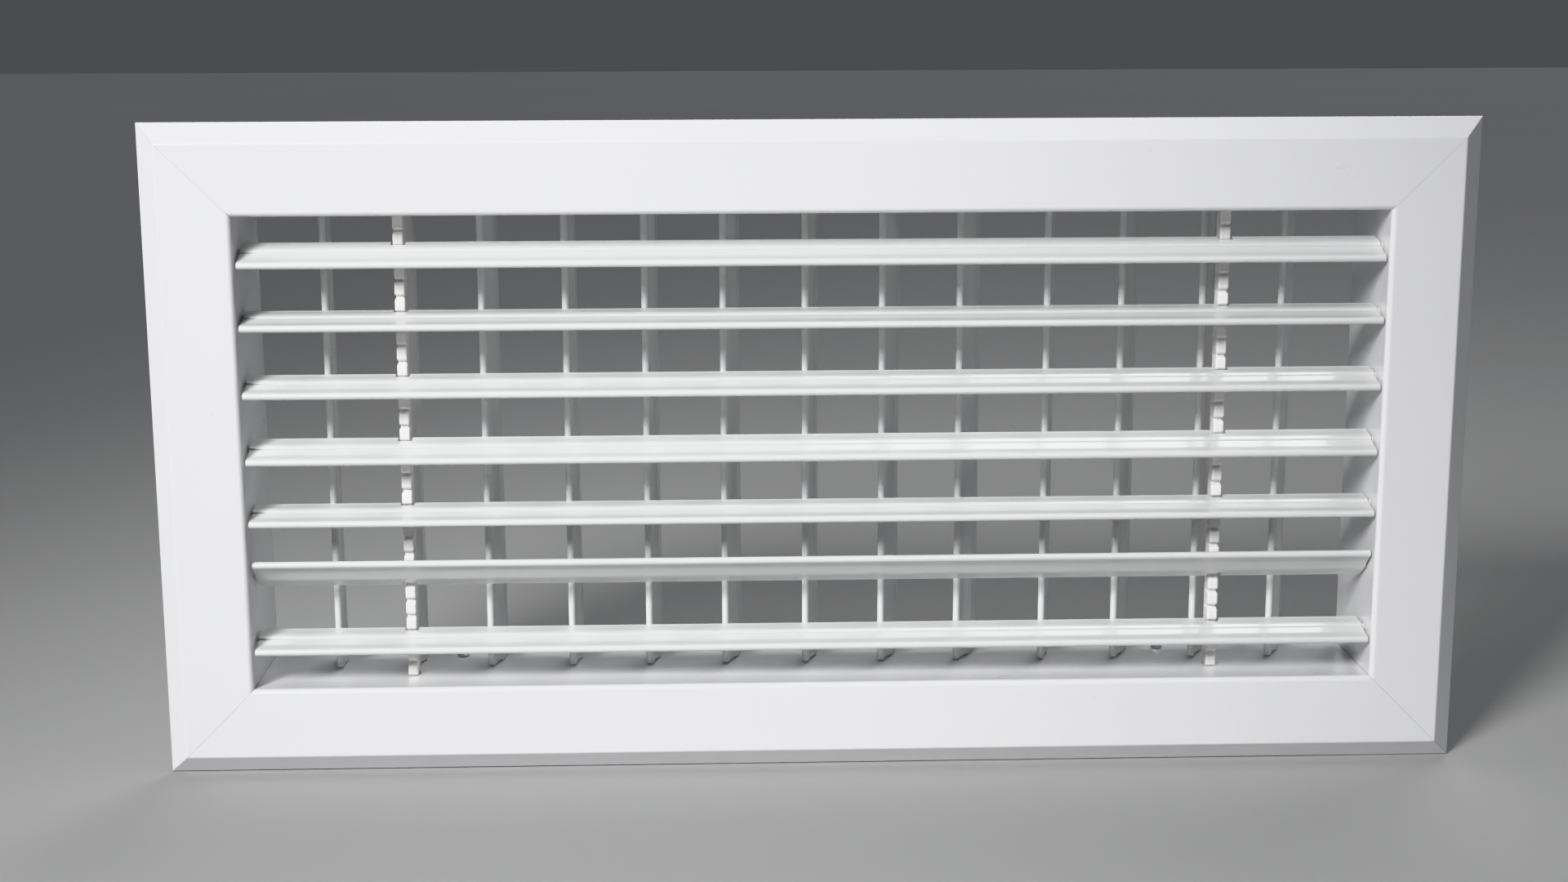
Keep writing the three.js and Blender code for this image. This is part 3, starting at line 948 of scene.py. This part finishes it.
@dataclass
class CornerKeys:
    """Four L keys of flat bar in the channels behind the mitres."""

    shop: Workshop
    ease: float = 0.18 * MM
    seal_seat: float = 1.6 * MM

    def build(self, material: bpy.types.Material) -> None:
        """Makes the keys, each with its two staking holes."""
        low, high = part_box("corner_key_top_right")
        leg, thickness = high.x - low.x, high.y - low.y
        # The key's outer corner and its seat behind the seal give the bar's width.
        bar = high.z - (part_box("seal_top")[1].z + self.seal_seat)
        outline = rounded_outline([
            (0.0, 0.0, 0.6 * MM),
            (-leg, 0.0, 0.8 * MM),
            (-leg, -bar, 0.8 * MM),
            (-bar, -bar, 0.5 * MM),
            (-bar, -leg, 0.8 * MM),
            (0.0, -leg, 0.8 * MM),
        ], 5)
        stake = leg - bar
        for turns, (node, side_x, side_z) in enumerate((
            ("top_right", 1, 1),
            ("bottom_right", 1, -1),
            ("bottom_left", -1, -1),
            ("top_left", -1, 1),
        )):
            stations = eased_ends(thickness / 2, self.ease)
            rings = bar_rings(outline, stations, lambda a, b, along: (b, along, a))
            key = put(f"{node}_key", loft(f"{node}_key", rings))
            self.shop.drill.run(
                key, Count=2, Start=(-bar / 2, 0.0, -stake), Step=(bar / 2 - stake, 0.0, stake - bar / 2),
                First_Turn=(QUARTER, 0.0, 0.0), Radius=bar / 5, Depth=4 * thickness, Finish=material,
            )
            place = Vector((side_x * high.x, (low.y + high.y) / 2, side_z * high.z))
            turn = Matrix.Rotation(turns * QUARTER, 4, "Y")
            key.data.transform(Matrix.Translation(place) @ turn)
            tidy(key.data, 0.0005 * MM)
            smooth(key)
            hand_over(key, "frame", material, [f"corner_key_{node}"])


@dataclass
class FoamSeal:
    """Four strips of closed-cell foam stuck behind the flange."""

    corner: float = 0.7 * MM
    waver: float = 0.09 * MM
    step: float = 3.5 * MM
    end_inset: float = 0.35 * MM
    end_land: float = 0.3 * MM
    seed: int = 7

    def build(self, material: bpy.types.Material) -> None:
        """Makes the four strips, each cut a little unevenly."""
        rng = random.Random(self.seed)
        for end in ("top", "bottom", "left", "right"):
            low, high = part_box(f"seal_{end}")
            size, middle = high - low, (low + high) / 2
            flat = end in ("top", "bottom")
            length, across = (size.x, size.z) if flat else (size.z, size.x)
            outline = self.outline(size.y / 2, across / 2)
            count = round(length / self.step)
            half = length / 2
            stations = [(-half, self.end_inset)]
            for index in range(count + 1):
                along = (-half + self.end_land) + (length - 2 * self.end_land) * index / count
                stations.append((along, rng.uniform(0.0, self.waver)))
            stations.append((half, self.end_inset))

            def place(a: float, b: float, along: float) -> tuple[float, float, float]:
                """Lays the strip along X or along Z."""
                if flat:
                    return (middle.x + along, middle.y + a, middle.z + b)
                return (middle.x + b, middle.y + a, middle.z + along)

            strip = put(f"{end}_foam", loft(f"{end}_foam", bar_rings(outline, stations, place)))
            smooth(strip, 50.0)
            hand_over(strip, "frame", material, [f"seal_{end}"])

    def outline(self, half_depth: float, half_width: float) -> Outline:
        """The strip's section: square at its stuck side, softer at its free side."""
        soft, square = self.corner, self.corner * 0.35
        return rounded_outline([
            (-half_depth, -half_width, square),
            (half_depth, -half_width, soft),
            (half_depth, half_width, soft),
            (-half_depth, half_width, square),
        ], 4)


@dataclass
class SpringClips:
    """Four bent leaves that spring out behind the wall, and the blind rivets that hold them."""

    layout: Layout
    shop: Workshop
    wall: float = NECK_WALL
    sheet: float = 0.6 * MM
    seat: float = 0.2 * MM
    foot: float = 10 * MM
    toe: float = 2.6 * MM
    bend: float = 1.0 * MM
    knee: float = 0.35 * MM
    ease: float = 0.1 * MM
    hole: float = 1.45 * MM
    rivet: float = 1.2 * MM
    rivet_head: float = 2.4 * MM
    rivet_height: float = 0.8 * MM
    mandrel: float = 0.65 * MM

    def outline(self, low: Vector, high: Vector) -> Outline:
        """A clip's side view: depth, and height above the middle plane."""
        seat = self.layout.half_height + self.wall + self.seat
        rear, toe_y = high.y, low.y
        foot_front = rear - self.foot
        crest = high.z
        rise = crest - seat
        drop = self.toe
        sheet = self.sheet
        lean = Vector((foot_front - toe_y - drop, rise - sheet)).normalized()
        lift = sheet * lean.x
        return rounded_outline([
            (rear, seat, 0.1 * MM),
            (rear, seat + sheet, 0.1 * MM),
            (foot_front, seat + sheet, self.bend),
            (toe_y + drop, crest + self.knee, self.bend + sheet),
            (toe_y, crest - drop, 0.15 * MM),
            (toe_y + sheet, crest - drop - sheet, 0.15 * MM),
            (toe_y + drop, crest + self.knee - 2 * lift, self.bend),
            (foot_front - sheet / 2, seat, self.bend + sheet),
        ], 6)

    def build(self, steel: bpy.types.Material, aluminium: bpy.types.Material) -> None:
        """Makes the clips and the rivets, above the neck and turned below it."""
        low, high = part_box("clip_rivet_top_right")
        rivet_x, rivet_y = (low.x + high.x) / 2, (low.y + high.y) / 2
        for end, turn in (("top", 0.0), ("bottom", math.pi)):
            about = Matrix.Rotation(turn, 4, "Y")
            for side, sign in (("left", -1), ("right", 1)):
                clip_low, clip_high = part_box(f"spring_clip_top_{side}")
                half = (clip_high.x - clip_low.x) / 2
                rings = bar_rings(
                    self.outline(clip_low, clip_high),
                    eased_ends(half, self.ease),
                    lambda a, b, along, middle=sign * rivet_x: (middle + along, a, b),
                )
                clip = put(f"{end}_{side}_clip", loft(f"{end}_{side}_clip", rings))
                start = (sign * rivet_x, rivet_y, self.layout.half_height + self.wall)
                self.shop.drill.run(
                    clip, Count=1, Start=start, Radius=self.hole, Depth=4 * MM, Finish=steel
                )
                clip.data.transform(about)
                tidy(clip.data, 0.0005 * MM)
                smooth(clip)
                node = f"spring_clip_{end}_{side if turn == 0.0 else self.opposite(side)}"
                hand_over(clip, "frame", steel, [node])
            self.rivets(end, about, (rivet_x, rivet_y), low.z, high.z, aluminium)

    @staticmethod
    def opposite(side: str) -> str:
        """The other side, which a half turn about Y leads to."""
        return {"left": "right", "right": "left"}[side]

    def rivets(
        self,
        end: str,
        about: Matrix,
        place: tuple[float, float],
        low: float,
        high: float,
        aluminium: bpy.types.Material,
    ) -> None:
        """Two blind rivets in a row: domed head with a mandrel hole outside, set bulb inside."""
        inside = self.layout.half_height - 0.25 * MM
        outside = high - self.rivet_height
        dome = [
            (self.rivet_head * math.cos(t), outside + 0.25 * MM + 0.55 * MM * math.sin(t))
            for t in (0.0, 0.3, 0.6, 0.9, 1.15)
        ]
        profile = [
            (0.35 * MM, low + 0.1 * MM),
            (0.62 * self.rivet_head, low),
            (0.78 * self.rivet_head, low + 0.3 * MM),
            (0.8 * self.rivet_head, inside),
            (self.rivet, inside),
            (self.rivet, outside),
            (self.rivet_head, outside),
            *dome,
            (self.mandrel, high),
            (self.mandrel, high - 0.45 * MM),
            (0.5 * self.mandrel, high - 0.4 * MM),
        ]
        pair = put(f"{end}_rivets", turned(f"{end}_rivets", profile, 28))
        self.shop.rows.run(
            pair, Count=2, Start=(-place[0], place[1], 0.0), Step=(2 * place[0], 0.0, 0.0),
            First_Turn=(0.0, -QUARTER, 0.0), Finish=aluminium,
        )
        pair.data.transform(about)
        smooth(pair)
        nodes = [f"clip_rivet_{end}_{side}" for side in ("left", "right")]
        hand_over(pair, "frame", aluminium, nodes)


@dataclass
class Mullions:
    """Two upright bars with a row of pillow beads, tenoned into the neck."""

    layout: Layout
    shop: Workshop
    width: float = 3.2 * MM
    bead_pitch: float = 5 * MM
    bead_phase: float = 0.9 * MM
    groove: float = 1.5 * MM
    groove_floor: float = 0.38 * MM
    groove_reach: float = 1.4 * MM
    pinch: float = 0.42 * MM
    corner: float = 0.55 * MM
    tenon: float = 2.8 * MM
    end_gap: float = 0.3 * MM
    arc_shares: tuple[float, ...] = (0.0, 0.03, 0.1, 0.22, 0.4, 0.62, 0.82, 1.0)

    def ring(self, height: float, front: float, rear: float, near: float) -> Ring:
        """One ring of the bar.

        Args:
            height: Its place along Z.
            front: The front's depth.
            rear: The rear's depth.
            near: How far it is from the nearest groove, which draws it in.

        Returns:
            The ring's points.
        """
        away = min(max(near - self.groove_floor, 0.0) / (self.groove_reach - self.groove_floor), 1.0)
        dip = 1.0 - math.sqrt(1.0 - (1.0 - away) ** 2)
        half = self.width / 2
        outline = rounded_outline([
            (-half, front, self.corner),
            (half, front, self.corner),
            (half, rear, self.corner * 0.5),
            (-half, rear, self.corner * 0.5),
        ], 4)
        depth = rear - front
        points = []
        for across, deep in outline:
            share = max(0.0, 1.0 - (deep - front) / (0.45 * depth)) * dip
            drawn = across * (1.0 - share * self.pinch / half)
            points.append(Vector((drawn, deep + share * self.groove, height)))
        return points

    def unit(self, low: float, high: float, front: float, rear: float, ends: str) -> list[Ring]:
        """Rings from one height to another, with a groove at each end that ends names."""
        reach = self.groove_reach - self.groove_floor
        steps = [0.0] + [self.groove_floor + share * reach for share in self.arc_shares]
        heights: list[tuple[float, float]] = []
        if "l" in ends:
            heights += [(low + step, step) for step in steps]
        else:
            heights.append((low, self.groove_reach))
        if "h" in ends:
            heights += [(high - step, step) for step in reversed(steps)]
        else:
            heights.append((high, self.groove_reach))
        return [self.ring(height, front, rear, near) for height, near in heights]

    def build(self, material: bpy.types.Material) -> None:
        """Makes both bars: a row of beads and two plain ends with their tenons."""
        low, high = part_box("mullion_left")
        front, rear = low.y, high.y
        end = self.layout.half_height - self.end_gap
        start = self.layout.front[0].place.z + self.bead_phase
        room = self.groove_reach
        top = start + self.bead_pitch * math.floor((end - room - start) / self.bead_pitch)
        count = math.floor((top + end - room) / self.bead_pitch)
        bottom = top - count * self.bead_pitch
        for side, sign in (("left", -1), ("right", 1)):
            name = f"{side}_mullion"
            rings = self.unit(bottom, bottom + self.bead_pitch, front, rear, "lh")
            bar = put(name, loft(name, rings, capped=False))
            self.shop.rows.run(bar, Count=count, Step=(0.0, 0.0, self.bead_pitch), Finish=material)
            self.close(bar, (bottom, top), end, (front, rear), high.z)
            bar.data.transform(Matrix.Translation((sign * self.layout.mullion_x, 0.0, 0.0)))
            smooth(bar, 45.0)
            hand_over(bar, "frame", material, [f"mullion_{side}"])

    def close(
        self,
        bar: bpy.types.Object,
        grooves: tuple[float, float],
        end: float,
        depths: tuple[float, float],
        tip: float,
    ) -> None:
        """Adds the plain ends and the tenons to the row of beads and joins the skin."""
        front, rear = depths
        middle = (front + rear) / 2
        narrow = (middle - self.tenon / 2, middle + self.tenon / 2)
        far = self.groove_reach
        upper = self.unit(grooves[1], end, front, rear, "l")
        upper += [self.ring(end, *narrow, far), self.ring(tip, *narrow, far)]
        lower = [self.ring(-tip, *narrow, far), self.ring(-end, *narrow, far)]
        lower += self.unit(-end, grooves[0], front, rear, "h")
        work = bmesh.new()
        work.from_mesh(bar.data)
        for rings in (upper, lower):
            stub = loft("stub", rings, capped=False)
            work.from_mesh(stub)
            bpy.data.meshes.remove(stub)
        bmesh.ops.remove_doubles(work, verts=work.verts, dist=0.002 * MM)
        bmesh.ops.holes_fill(work, edges=work.edges, sides=0)
        bmesh.ops.recalc_face_normals(work, faces=work.faces)
        work.to_mesh(bar.data)
        work.free()


@dataclass(frozen=True)
class Aerofoil:
    """A louvre's section: round nose, hollow slope, fine groove, hump round the pivot, thin tail."""

    chord: float = 15 * MM
    pivot: float = 9 * MM
    nose: float = 1.1 * MM
    waist: float = 0.85 * MM
    waist_at: float = 0.45
    hump: float = 1.35 * MM
    tail: float = 0.5 * MM
    groove_width: float = 0.7 * MM
    groove_depth: float = 0.5 * MM
    groove_lip: float = 0.12 * MM

    def half(self, grooved: bool) -> Outline:
        """Half of the section from nose to tail: distance behind the pivot, and height.

        Args:
            grooved: Whether the fine groove and the step behind it are on this side.
        """
        front = -self.pivot
        points = []
        for step in range(10):
            turn = QUARTER * step / 9
            points.append((front + self.nose * (1 - math.cos(turn)), self.nose * math.sin(turn)))
        waist = front + self.waist_at * self.pivot
        points += self.ease((front + self.nose, self.nose), (waist, self.waist), 5)
        if grooved:
            brink = -self.hump - self.groove_width
            points += self.ease((waist, self.waist), (brink, self.waist + self.groove_lip), 4)
            floor = self.waist + self.groove_lip - self.groove_depth
            points.append((brink + self.groove_lip, floor))
            points.append((-self.hump - 0.1 * MM, floor))
            points.append((-self.hump, self.hump - 0.22 * MM))
            points.append((-self.hump + self.groove_lip, self.hump - 0.1 * MM))
            points += self.ease(points[-1], (0.0, self.hump), 3)
        else:
            points += self.ease(points[-1], (0.0, self.hump), 7)
        back = self.chord - self.pivot - self.tail
        points += self.ease((0.0, self.hump), (back, self.tail), 8)
        for step in range(1, 6):
            turn = QUARTER * step / 5
            points.append((back + self.tail * math.sin(turn), self.tail * math.cos(turn)))
        return points

    @staticmethod
    def ease(start: tuple[float, float], end: tuple[float, float], steps: int) -> Outline:
        """Points of a gentle S from start to end, without the start."""
        made = []
        for step in range(1, steps + 1):
            share = step / steps
            eased = 0.5 * share + 0.5 * share * share * (3 - 2 * share)
            made.append((
                start[0] + (end[0] - start[0]) * share,
                start[1] + (end[1] - start[1]) * eased,
            ))
        return made

    def outline(self) -> Outline:
        """The whole closed section."""
        lower = [(along, -across) for along, across in self.half(grooved=False)[1:-1]]
        return self.half(grooved=True) + lower[::-1]


@dataclass
class Pivot:
    """A moulded nylon pivot turned about X: shank in the louvre, journal in the neck, and head."""

    shank: float = 0.65 * MM
    shank_length: float = 8 * MM
    journal: float = 1.1 * MM
    head: float = 1.9 * MM
    head_thickness: float = 0.8 * MM
    gap: float = 0.6 * MM
    wall: float = NECK_WALL
    clearance: float = 0.2 * MM

    def headed(self) -> Outline:
        """Profile from the shank's tip out to a head with a moulded dimple, from the neck's face."""
        seat = self.wall + self.clearance
        top = seat + self.head_thickness
        tip = -self.gap - self.shank_length
        return [
            (0.3 * MM, tip),
            (self.shank, tip + 0.45 * MM),
            (self.shank, -self.gap / 2),
            (self.journal, -self.gap / 2),
            (self.journal, seat),
            (self.head - 0.08 * MM, seat),
            (self.head, seat + 0.1 * MM),
            (self.head, top - 0.32 * MM),
            (self.head - 0.1 * MM, top - 0.12 * MM),
            (self.head - 0.32 * MM, top),
            (0.75 * MM, top),
            (0.6 * MM, top - 0.12 * MM),
            (0.5 * MM, top - 0.3 * MM),
            (0.2 * MM, top - 0.32 * MM),
        ]

    def plain(self, proud: float) -> Outline:
        """Profile of a pivot without a head that stands a little proud of the neck."""
        end = self.wall + proud
        return [
            (0.3 * MM, -self.gap - 0.75 * self.shank_length),
            (self.shank, -self.gap - 0.7 * self.shank_length),
            (self.shank, -self.gap),
            (self.journal, -self.gap),
            (self.journal, end - 0.2 * MM),
            (self.journal - 0.2 * MM, end),
            (0.45 * MM, end),
            (0.35 * MM, end - 0.25 * MM),
            (0.1 * MM, end - 0.25 * MM),
        ]


@dataclass
class FrontBank:
    """Seven level louvres, notched for the mullions, each on two headed pins."""

    layout: Layout
    shop: Workshop
    foil: Aerofoil = field(default_factory=Aerofoil)
    pivot: Pivot = field(default_factory=Pivot)
    bore: float = 0.85 * MM
    bore_depth: float = 9 * MM
    notch_gap: float = 0.6 * MM
    swing_gap: float = 0.35 * MM
    ease: float = 0.12 * MM

    def build(self, coat: bpy.types.Material, nylon: bpy.types.Material) -> None:
        """Makes every louvre of the bank with its pins."""
        mullion_low, mullion_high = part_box("mullion_left")
        notch = mullion_high.x - mullion_low.x + 2 * self.notch_gap
        for axis in self.layout.front:
            half = self.layout.half_width - self.pivot.gap
            place = Matrix.Translation(axis.place) @ Matrix.Rotation(axis.angle, 4, "X")
            name = f"front_louvre_{axis.number}"
            rings = bar_rings(
                self.foil.outline(), eased_ends(half, self.ease), lambda a, b, along: (along, a, b)
            )
            louvre = put(name, loft(name, rings))
            reach = mullion_low.y - axis.place.y - self.swing_gap
            floor = math.sqrt(reach**2 - self.foil.hump**2)
            self.shop.slotter.run(
                louvre, Count=2,
                Start=(-self.layout.mullion_x, floor + self.foil.chord / 2, 0.0),
                Step=(2 * self.layout.mullion_x, 0.0, 0.0),
                Size=(notch, self.foil.chord, 4 * self.foil.hump), Finish=coat,
            )
            self.shop.drill.run(
                louvre, Count=2, Start=(-half, 0.0, 0.0), Step=(2 * half, 0.0, 0.0),
                First_Turn=(0.0, QUARTER, 0.0), Radius=self.bore, Depth=2 * self.bore_depth,
                Finish=coat,
            )
            louvre.data.transform(place)
            tidy(louvre.data, 0.0005 * MM)
            smooth(louvre, 28.0)
            node = f"front_blade_{axis.number}"
            hand_over(louvre, axis.body, coat, [node])
            self.pins(axis, place, nylon)

    def pins(self, axis: Axis, place: Matrix, nylon: bpy.types.Material) -> None:
        """The two pins of one louvre, one turned round for the left."""
        name = f"front_pins_{axis.number}"
        pair = put(name, turned(name, self.pivot.headed()))
        width = self.layout.half_width
        self.shop.rows.run(
            pair, Count=2, Start=(width, 0.0, 0.0), Step=(-2 * width, 0.0, 0.0),
            Turn_Step=(0.0, 0.0, math.pi), Finish=nylon,
        )
        pair.data.transform(place)
        smooth(pair)
        nodes = [f"pivot_pin_{side}_{axis.number}" for side in ("left", "right")]
        hand_over(pair, axis.body, nylon, nodes)


@dataclass
class RearBank:
    """Thirteen upright louvres on nylon pivots, with their grooves turned to the left."""

    layout: Layout
    shop: Workshop
    foil: Aerofoil = field(default_factory=Aerofoil)
    pivot: Pivot = field(default_factory=Pivot)
    proud: float = 0.8 * MM
    bore: float = 0.85 * MM
    bore_depth: float = 7 * MM
    ease: float = 0.12 * MM

    def build(self, coat: bpy.types.Material, nylon: bpy.types.Material) -> None:
        """Makes every louvre of the bank with its pivots."""
        half = self.layout.half_height - self.pivot.gap
        for axis in self.layout.rear:
            place = Matrix.Translation(axis.place) @ Matrix.Rotation(-axis.angle, 4, "Z")
            name = f"rear_louvre_{axis.number:02d}"
            rings = bar_rings(
                self.foil.outline(), eased_ends(half, self.ease), lambda a, b, along: (-b, a, along)
            )
            louvre = put(name, loft(name, rings))
            self.shop.drill.run(
                louvre, Count=2, Start=(0.0, 0.0, -half), Step=(0.0, 0.0, 2 * half),
                Radius=self.bore, Depth=2 * self.bore_depth, Finish=coat,
            )
            louvre.data.transform(place)
            tidy(louvre.data, 0.0005 * MM)
            smooth(louvre, 28.0)
            node = f"rear_blade_{axis.number:02d}"
            hand_over(louvre, axis.body, coat, [node])
            self.pivots(axis, place, nylon)

    def pivots(self, axis: Axis, place: Matrix, nylon: bpy.types.Material) -> None:
        """The upper and lower pivot of one louvre."""
        name = f"rear_pivots_{axis.number:02d}"
        pair = put(name, turned(name, self.pivot.plain(self.proud), 24))
        height = self.layout.half_height
        self.shop.rows.run(
            pair, Count=2, Start=(0.0, 0.0, height), Step=(0.0, 0.0, -2 * height),
            First_Turn=(0.0, -QUARTER, 0.0), Turn_Step=(0.0, math.pi, 0.0), Finish=nylon,
        )
        pair.data.transform(place)
        smooth(pair)
        hand_over(pair, axis.body, nylon)


# ---- Studio ---------------------------------------------------------------------------------


@dataclass
class Studio:
    """Pale floor, one soft key light from upper left, a dim room, and the camera."""

    floor_size: float = 12.0
    floor_gap: float = 0.3 * MM
    key_place: tuple[float, float, float] = (-0.64, -0.98, 0.7)
    key_size: float = 0.46
    key_power: float = 1.85
    key_spread: float = 46.0
    key_aim: tuple[float, float, float] = (-0.03, 0.0, 0.0)
    back_place: tuple[float, float, float] = (0.5, 1.0, 1.7)
    back_strength: float = 0.75
    back_softness: float = 24.0
    room: Colour = (0.60, 0.62, 0.66)
    room_light: float = 0.18
    eye: tuple[float, float, float] = (-31.35 * MM, -678.07 * MM, 138.42 * MM)
    tilt: float = 78.68
    roll: float = 0.17
    pan: float = -1.88
    lens: float = 52.06

    def build(self) -> None:
        """Makes the floor, the lights and the camera."""
        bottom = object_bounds()[0].z - self.floor_gap
        half = self.floor_size / 2
        corners = [(-half, -half, bottom), (half, -half, bottom), (half, half, bottom)]
        mesh = bpy.data.meshes.new("studio_floor")
        mesh.from_pydata([*corners, (-half, half, bottom)], [], [(0, 1, 2, 3)])
        floor = put("studio_floor", mesh)
        mesh.materials.append(FloorPaint("pale_floor", (0.46, 0.46, 0.46), 0.7).build())
        floor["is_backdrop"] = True
        self.light()
        self.camera()

    def light(self) -> None:
        """Hangs both lamps and lights the room."""
        key = bpy.data.lights.new("key_light", "AREA")
        key.shape = "DISK"
        key.size = self.key_size
        key.energy = self.key_power
        key.spread = math.radians(self.key_spread)
        self.hang(key, self.key_place, self.key_aim)
        back = bpy.data.lights.new("back_light", "SUN")
        back.energy = self.back_strength
        back.angle = math.radians(self.back_softness)
        self.hang(back, self.back_place, (0.0, 0.0, 0.0))
        world = bpy.data.worlds.new("studio_room")
        bpy.context.scene.world = world
        world.use_nodes = True
        room = world.node_tree.nodes["Background"]
        room.inputs["Color"].default_value = (*self.room, 1.0)
        room.inputs["Strength"].default_value = self.room_light

    @staticmethod
    def hang(
        light: bpy.types.Light, place: tuple[float, float, float], aim: tuple[float, float, float]
    ) -> None:
        """Hangs a lamp at a place, facing the point it is aimed at."""
        lamp = bpy.data.objects.new(light.name, light)
        lamp.location = place
        lamp.rotation_euler = (Vector(aim) - Vector(place)).to_track_quat("-Z", "Y").to_euler()
        bpy.context.scene.collection.objects.link(lamp)

    def camera(self) -> None:
        """Sets the camera in front of the grille, a little above it and to the left."""
        data = bpy.data.cameras.new("camera")
        data.lens = self.lens
        data.clip_start = 0.01
        camera = bpy.data.objects.new("camera", data)
        camera.location = self.eye
        camera.rotation_euler = [math.radians(a) for a in (self.tilt, self.roll, self.pan)]
        bpy.context.scene.collection.objects.link(camera)
        bpy.context.scene.camera = camera
        bpy.context.scene.view_settings.view_transform = "Khronos PBR Neutral"


def main() -> None:
    """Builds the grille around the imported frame, then the studio."""
    logging.basicConfig(level=logging.INFO, format="%(name)s %(message)s")
    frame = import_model()
    layout = Layout.read(frame)
    shop = Workshop()
    half = (layout.half_width, layout.half_height)
    casing_coat = PowderCoat("casing_powder_coat", (0.80, 0.80, 0.81), 0.29, mitre_half=half).build()
    # Painted shade: the louvres wear the casing's white powder coat, given a darker colour so that the
    # key light lights them less brightly.
    shaded_louvre_coat = PowderCoat("louvre_powder_coat", (0.74, 0.745, 0.745), 0.33).build()
    nylon = MouldedPlastic("natural_nylon", (0.80, 0.79, 0.75), 0.5).build()
    mullion_plastic = MouldedPlastic("white_mullion_plastic", (0.86, 0.86, 0.84), 0.35).build()
    mill = DrawnMetal("mill_aluminium", (0.62, 0.63, 0.65), 0.42).build()
    bright = DrawnMetal("rivet_aluminium", (0.72, 0.73, 0.75), 0.3, grain=Grain.ROUND).build()
    spring = DrawnMetal(
        "zinc_spring_steel", (0.50, 0.51, 0.52), 0.34, grain=Grain.ALONG_Y, oxide=(0.30, 0.31, 0.35)
    ).build()
    foam = CellFoam("black_cell_foam", (0.035, 0.035, 0.038), 0.95).build()
    Casing(layout, shop).build(casing_coat)
    CornerKeys(shop).build(mill)
    FoamSeal().build(foam)
    SpringClips(layout, shop).build(spring, bright)
    Mullions(layout, shop).build(mullion_plastic)
    FrontBank(layout, shop).build(shaded_louvre_coat, nylon)
    RearBank(layout, shop).build(shaded_louvre_coat, nylon)
    Studio().build()


if __name__ == "__main__":
    main()
